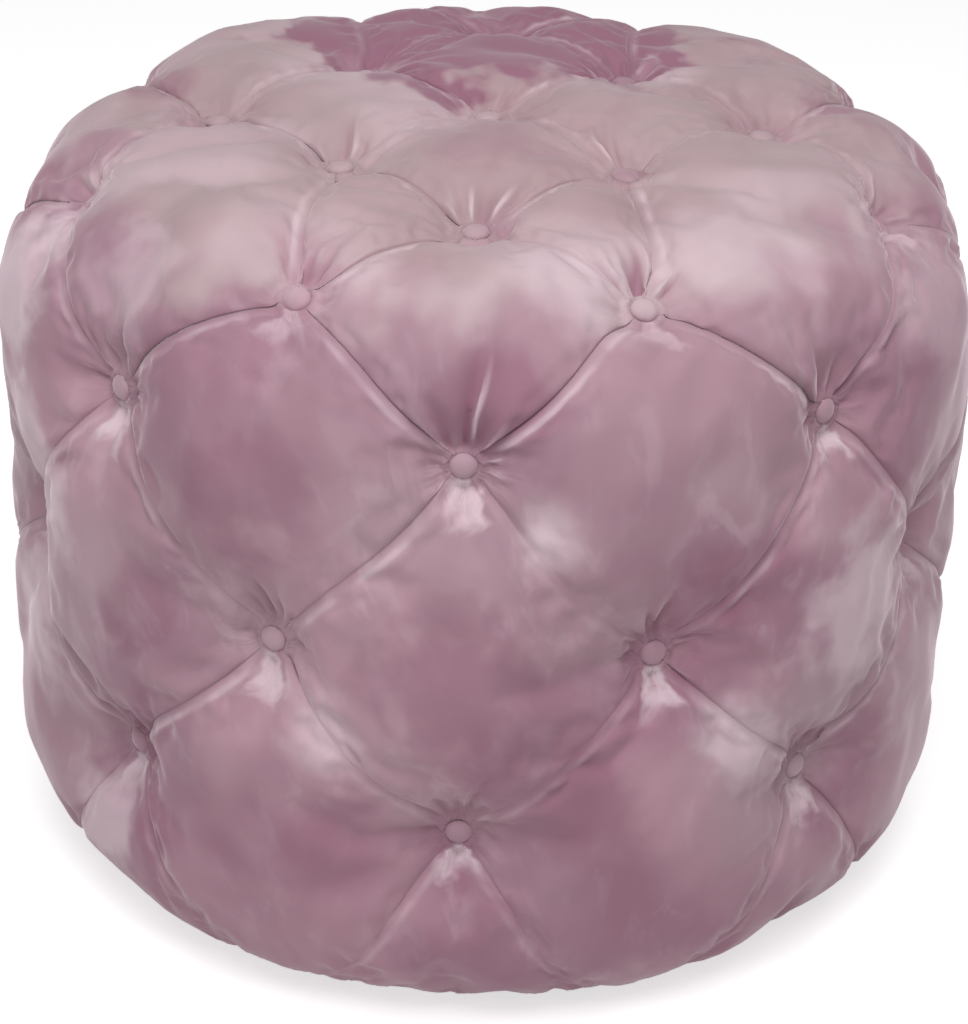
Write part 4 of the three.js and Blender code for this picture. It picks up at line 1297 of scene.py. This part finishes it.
class TUFFET_OT_buttons(bpy.types.Operator):
    """Make the covered buttons, each with its twine and toggle"""

    bl_idname = "tuffet.buttons"
    bl_label = "Covered buttons"

    def execute(self, context):
        scene = context.scene
        form, size, seed = scene.tuffet_form, scene.tuffet_button, scene.tuffet_cloth.seed
        profile, knot, _ = tuffet_quarters(form)
        rng = np.random.default_rng(seed + 1)
        material = velvet_material(scene.tuffet_colours, profile, seed, "Button velvet", 0.2)
        roll = np.linspace(-math.pi / 2, 0, 5)
        rise = np.linspace(0, math.pi / 2, 10)[1:]
        roll_radius = 0.6 * size.edge
        button = np.concatenate([
            np.stack([
                size.radius - roll_radius + roll_radius * np.cos(roll),
                size.lift + size.edge + size.edge * np.sin(roll),
            ], -1),
            np.stack([
                size.radius * np.maximum(np.cos(rise), 0) ** DOME_POWER,
                size.lift + size.edge + (size.height - size.edge) * np.sin(rise),
            ], -1),
        ])
        button[-1, 0] = 0
        turn = np.linspace(0, 2 * math.pi, size.sides, endpoint=False)
        for name, spot in button_knots(form, knot).items():
            start = chart_points(np.array(spot.run), np.array(spot.angle))
            seat, normal = profile.surface(start, spot.seat)
            reach = self.reach(form, size, spot, seat, normal)
            toggle = [
                [size.toggle_radius * wide, -reach - size.toggle_thickness * low]
                for wide, low in TOGGLE_SHARES
            ]
            neck = [
                [size.twine_radius, -reach], [size.twine_radius, -size.twine_stop],
                [size.neck_radius, size.lift],
            ]
            outline = np.concatenate([toggle, neck, button])
            puckers = sum(
                deep * np.sin(times * turn + rng.uniform(0, 6)) for times, deep in BUTTON_PUCKERS)
            ripple = np.ones((len(outline) - 2, size.sides))
            ripple[len(toggle) + len(neck) - 1:][:len(roll) + 2] += puckers
            points, faces = lathe(outline, size.sides, ripple)
            tilt = Matrix.Rotation(rng.uniform(-1, 1) * size.tilt, 3, "X") @ Matrix.Rotation(
                rng.uniform(-1, 1) * size.tilt, 3, "Y")
            above = points[:, 2] > -size.twine_stop / 2
            points[above] = points[above] @ np.array(tilt).T
            face = Vector((0, 0, 1)).rotation_difference(Vector(normal)).to_matrix()
            mesh = mesh_from(name, points @ np.array(face).T + seat, faces)
            add_piece(f"covered_{name}", mesh, material, [name])
        return {"FINISHED"}

    @staticmethod
    def reach(form, size, spot, seat, normal):
        """From the seat to the toggle's face: to the underside of the top board, or to the
        inside of the drum's wall."""
        radial = math.hypot(normal[0], normal[1])
        if spot.ring in (GRID, RIM):
            underside = form.drum_top - form.board_thickness
            return (seat[2] - underside + size.toggle_radius * radial + form.gap) / normal[2]
        inner = (form.drum_radius - form.wall_thickness) * math.cos(math.pi / form.drum_sides)
        return (math.hypot(seat[0], seat[1]) - inner + form.gap) / radial


def cut(obj, cutter):
    """Cuts a closed mesh with another, which is then removed."""
    change = obj.modifiers.new("Cut", "BOOLEAN")
    change.operation = "DIFFERENCE"
    change.solver = "EXACT"
    change.object = cutter
    graph = bpy.context.evaluated_depsgraph_get()
    made = bpy.data.meshes.new_from_object(obj.evaluated_get(graph))
    obj.modifiers.clear()
    obj.data = made
    bpy.data.objects.remove(cutter)


def round_bar(radius, bottom, top, sides=160):
    """A closed upright cylinder, as an object for cutting."""
    points, faces = lathe([[0, bottom], [radius, bottom], [radius, top], [0, top]], sides)
    mesh = bpy.data.meshes.new("cutter")
    mesh.from_pydata(points, [], faces)
    return add_object("cutter", mesh)


class TUFFET_OT_foam(bpy.types.Operator):
    """Make the foam: a tufted ring round the drum and a tufted pad on its top"""

    bl_idname = "tuffet.foam"
    bl_label = "Foam"

    def execute(self, context):
        scene = context.scene
        form, cloth = scene.tuffet_form, scene.tuffet_cloth
        profile, _, panels = tuffet_quarters(form)
        quarters = Quarters(form, sum(panels.values(), []), cloth.seed)
        skin = Skin(form, cloth, profile, quarters, form.foam_cells, sunk=form.foam_ease)
        points, edge = skin.points.reshape(-1, 3), foot_edge(skin.points, quarters)
        index = np.arange(edge.size // 3).reshape(edge.shape[:2]) + len(points)
        middle = np.full_like(index[:, 1:], index.size + len(points))
        fan = np.stack([index[:, :-1], middle, index[:, 1:]], -1).reshape(-1, 3)
        points = np.concatenate([points, edge.reshape(-1, 3), [[0, 0, edge[..., 2].mean()]]])
        faces = grid_faces(skin.points.shape[:3]).tolist() + fan.tolist()
        block = mesh_from("foam_block", points, faces, merge=MERGE)
        material = foam_material(scene.tuffet_colours)
        past, low, high = PAST * form.crown_radius, -UNDER_FLOOR, PAST * form.overall_height
        top, core = form.drum_top + form.gap, form.drum_radius + 2 * form.gap
        bars = {
            "top_foam": [(past, low, top)],
            "side_foam": [(core, low, top), (past, form.drum_top, high)],
        }
        for node, cutters in bars.items():
            name = "_".join(reversed(node.split("_")))
            obj = add_piece(name, block.copy(), material, [node])
            for bar in cutters:
                cut(obj, round_bar(*bar))
            dress(obj.data, material)
            obj.data.shade_smooth()
        bpy.data.meshes.remove(block)
        return {"FINISHED"}


class TUFFET_OT_lining(bpy.types.Operator):
    """Make the lining under the base"""

    bl_idname = "tuffet.lining"
    bl_label = "Lining"

    def execute(self, context):
        """A disc of rings that sags a little and puckers towards its edge."""
        scene = context.scene
        rng = np.random.default_rng(scene.tuffet_cloth.seed + 2)
        low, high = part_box("dust_cover")
        radius = (high[0] - low[0]) / 2
        sides, rows = LINING_SIDES, LINING_RINGS
        turn = np.linspace(0, 2 * math.pi, sides, endpoint=False)
        run = np.linspace(0, 1, rows)[1:, None] * radius
        flat = np.stack([run * np.cos(turn), run * np.sin(turn), 0 * run * turn], -1)
        pucker = LINING_PUCKER * np.sin(LINING_PUCKERS * turn) * smooth(0.7 * radius, radius, run)
        sag = LINING_WAVE * waves(flat, rng, *LINING_WAVES)
        middle = np.array([0, 0, low[2] + 0.25 * MM])
        flat[..., 2] = np.clip(pucker + sag, *LINING_LIMITS)
        points = np.concatenate([(flat + middle).reshape(-1, 3), [middle]])
        index = np.arange((rows - 1) * sides).reshape(rows - 1, sides)
        after = np.roll(index, -1, 1)
        quads = np.stack([after[:-1], after[1:], index[1:], index[:-1]], -1).reshape(-1, 4)
        hub = np.stack([after[0], index[0], np.full(sides, len(points) - 1)], -1)
        mesh = mesh_from("lining", points, quads.tolist() + hub.tolist())
        material = lining_material(scene.tuffet_colours)
        piece = add_piece("lining", mesh, material, ["dust_cover"])
        wall = piece.modifiers.new("Thickness", "SOLIDIFY")
        wall.thickness = 0.3 * MM
        wall.offset = 0.0
        return {"FINISHED"}


class TUFFET_OT_drum(bpy.types.Operator):
    """Give the boards, posts, wall and glides their materials"""

    bl_idname = "tuffet.drum"
    bl_label = "Drum and glides"

    def execute(self, context):
        colours = context.scene.tuffet_colours
        lying = (math.radians(90), 0, 0)
        plywood = wood_material(
            "Plywood", colours.plywood, colours.plywood_dark, 9.0, lying, 1.25 * MM)
        pine = wood_material("Sawn pine", colours.pine, colours.pine_dark, 26.0)
        looks = {"base_board": plywood, "top_board": plywood}
        looks["drum_wall"] = hardboard_material(colours)
        glide = glide_material(colours)
        for i in range(1, 5):
            looks |= {f"post_{i}": pine, f"glide_{i}": glide}
        for name, material in looks.items():
            dress(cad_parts[name].data, material)
        return {"FINISHED"}


def area_light(name, place, aim, size, power):
    """A square soft light at a place, turned to its aim."""
    data = bpy.data.lights.new(name, "AREA")
    data.shape = "SQUARE"
    data.size = size
    data.energy = power
    obj = add_object(name, data)
    obj.location = place
    obj.rotation_euler = (Vector(aim) - Vector(place)).to_track_quat("-Z", "Y").to_euler()


def emptied(owner):
    """The nodes of a new material or world, with none left in it, and whether a ray comes from the
    camera, straight or by a glossy or clear face."""
    owner.use_nodes = True
    owner.node_tree.nodes.clear()
    nodes = Nodes(owner.node_tree)
    path = nodes.add("LightPath")
    by_face = nodes.math("MAXIMUM", path["Is Glossy Ray"], path["Is Transmission Ray"])
    return nodes, nodes.math("MAXIMUM", path["Is Camera Ray"], by_face)


class TUFFET_OT_stage(bpy.types.Operator):
    """Set the floor, the lights and the camera"""

    bl_idname = "tuffet.stage"
    bl_label = "Stage"

    def execute(self, context):
        scene = context.scene
        stage = scene.tuffet_stage
        half = stage.floor_half
        corners = [(-half, -half, 0), (half, -half, 0), (half, half, 0), (-half, half, 0)]
        floor = add_object("floor", mesh_from("floor", corners, [(0, 1, 2, 3)]))
        material = bpy.data.materials.new("White floor")
        nodes, seen = emptied(material)
        diffuse = nodes.add("BsdfDiffuse", {"Color": (0.8, 0.8, 0.8)})[0]
        strength = nodes.times(seen, stage.floor_glow)
        glow = nodes.add("Emission", {"Color": (1, 1, 1), "Strength": strength})[0]
        nodes.add("OutputMaterial", {"Surface": nodes.add("AddShader", {0: diffuse, 1: glow})[0]})
        dress(floor.data, material)

        scene.world = bpy.data.worlds.new("Studio")
        nodes, seen = emptied(scene.world)
        strength = nodes.add(
            "MapRange", {"Value": seen, "To Min": stage.ambient, "To Max": 1.0})["Result"]
        back = nodes.add("Background", {"Color": (1, 1, 1), "Strength": strength})[0]
        nodes.add("OutputWorld", {"Surface": back})

        area_light("top_light", stage.top_place, stage.aim, stage.top_size, stage.top_light)
        area_light("front_light", stage.front_place, stage.aim, stage.front_size, stage.front_light)

        tilt, turn = stage.elevation, stage.azimuth
        right = np.array([math.cos(turn), math.sin(turn), 0])
        flat = math.cos(tilt)
        away = np.array([math.sin(turn) * flat, -math.cos(turn) * flat, math.sin(tilt)])
        up = np.cross(away, right)
        target = right * stage.target_side + np.array([0, 0, stage.target_height])
        place = target + away * stage.distance
        c, s = math.cos(stage.roll), math.sin(stage.roll)
        right, up = c * right + s * up, -s * right + c * up
        scene.camera = add_object("camera", bpy.data.cameras.new("camera"))
        data = scene.camera.data
        data.lens, data.sensor_width = stage.lens, 36.0
        data.shift_x, data.shift_y = stage.shift_x, stage.shift_y
        data.clip_start, data.clip_end = 0.05, 50.0
        turned = Matrix((right, up, away)).transposed().to_4x4()
        scene.camera.matrix_world = Matrix.Translation(place) @ turned
        scene.view_settings.view_transform = "Standard"
        return {"FINISHED"}


class TUFFET_PT_panel(bpy.types.Panel):
    """The tuffet's pieces and sizes in the sidebar"""

    bl_idname = "TUFFET_PT_panel"
    bl_label = "Buttoned tuffet"
    bl_space_type = "VIEW_3D"
    bl_region_type = "UI"
    bl_category = "Tuffet"

    def draw(self, context):
        for operator in OPERATORS:
            self.layout.operator(operator.bl_idname)
        for group in GROUPS:
            settings = getattr(context.scene, group)
            box = self.layout.box()
            for key in settings.bl_rna.properties.keys():
                if key not in ("rna_type", "name"):
                    box.prop(settings, key)


OPERATORS = (
    TUFFET_OT_cover, TUFFET_OT_buttons, TUFFET_OT_foam, TUFFET_OT_lining, TUFFET_OT_drum,
    TUFFET_OT_stage,
)
GROUPS = {
    "tuffet_form": TUFFET_PG_form,
    "tuffet_cloth": TUFFET_PG_cloth,
    "tuffet_button": TUFFET_PG_button,
    "tuffet_colours": TUFFET_PG_colours,
    "tuffet_stage": TUFFET_PG_stage,
}


def register():
    for group in (*GROUPS.values(), *OPERATORS, TUFFET_PT_panel):
        bpy.utils.register_class(group)
    for name, group in GROUPS.items():
        setattr(bpy.types.Scene, name, bpy.props.PointerProperty(type=group))


def unregister():
    for name in GROUPS:
        delattr(bpy.types.Scene, name)
    for group in (TUFFET_PT_panel, *reversed(OPERATORS), *reversed(GROUPS.values())):
        bpy.utils.unregister_class(group)


def main():
    """Registers the classes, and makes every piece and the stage."""
    register()
    bpy.ops.tuffet.cover()
    bpy.ops.tuffet.buttons()
    bpy.ops.tuffet.foam()
    bpy.ops.tuffet.lining()
    bpy.ops.tuffet.drum()
    bpy.ops.tuffet.stage()


if __name__ == "__main__":
    main()
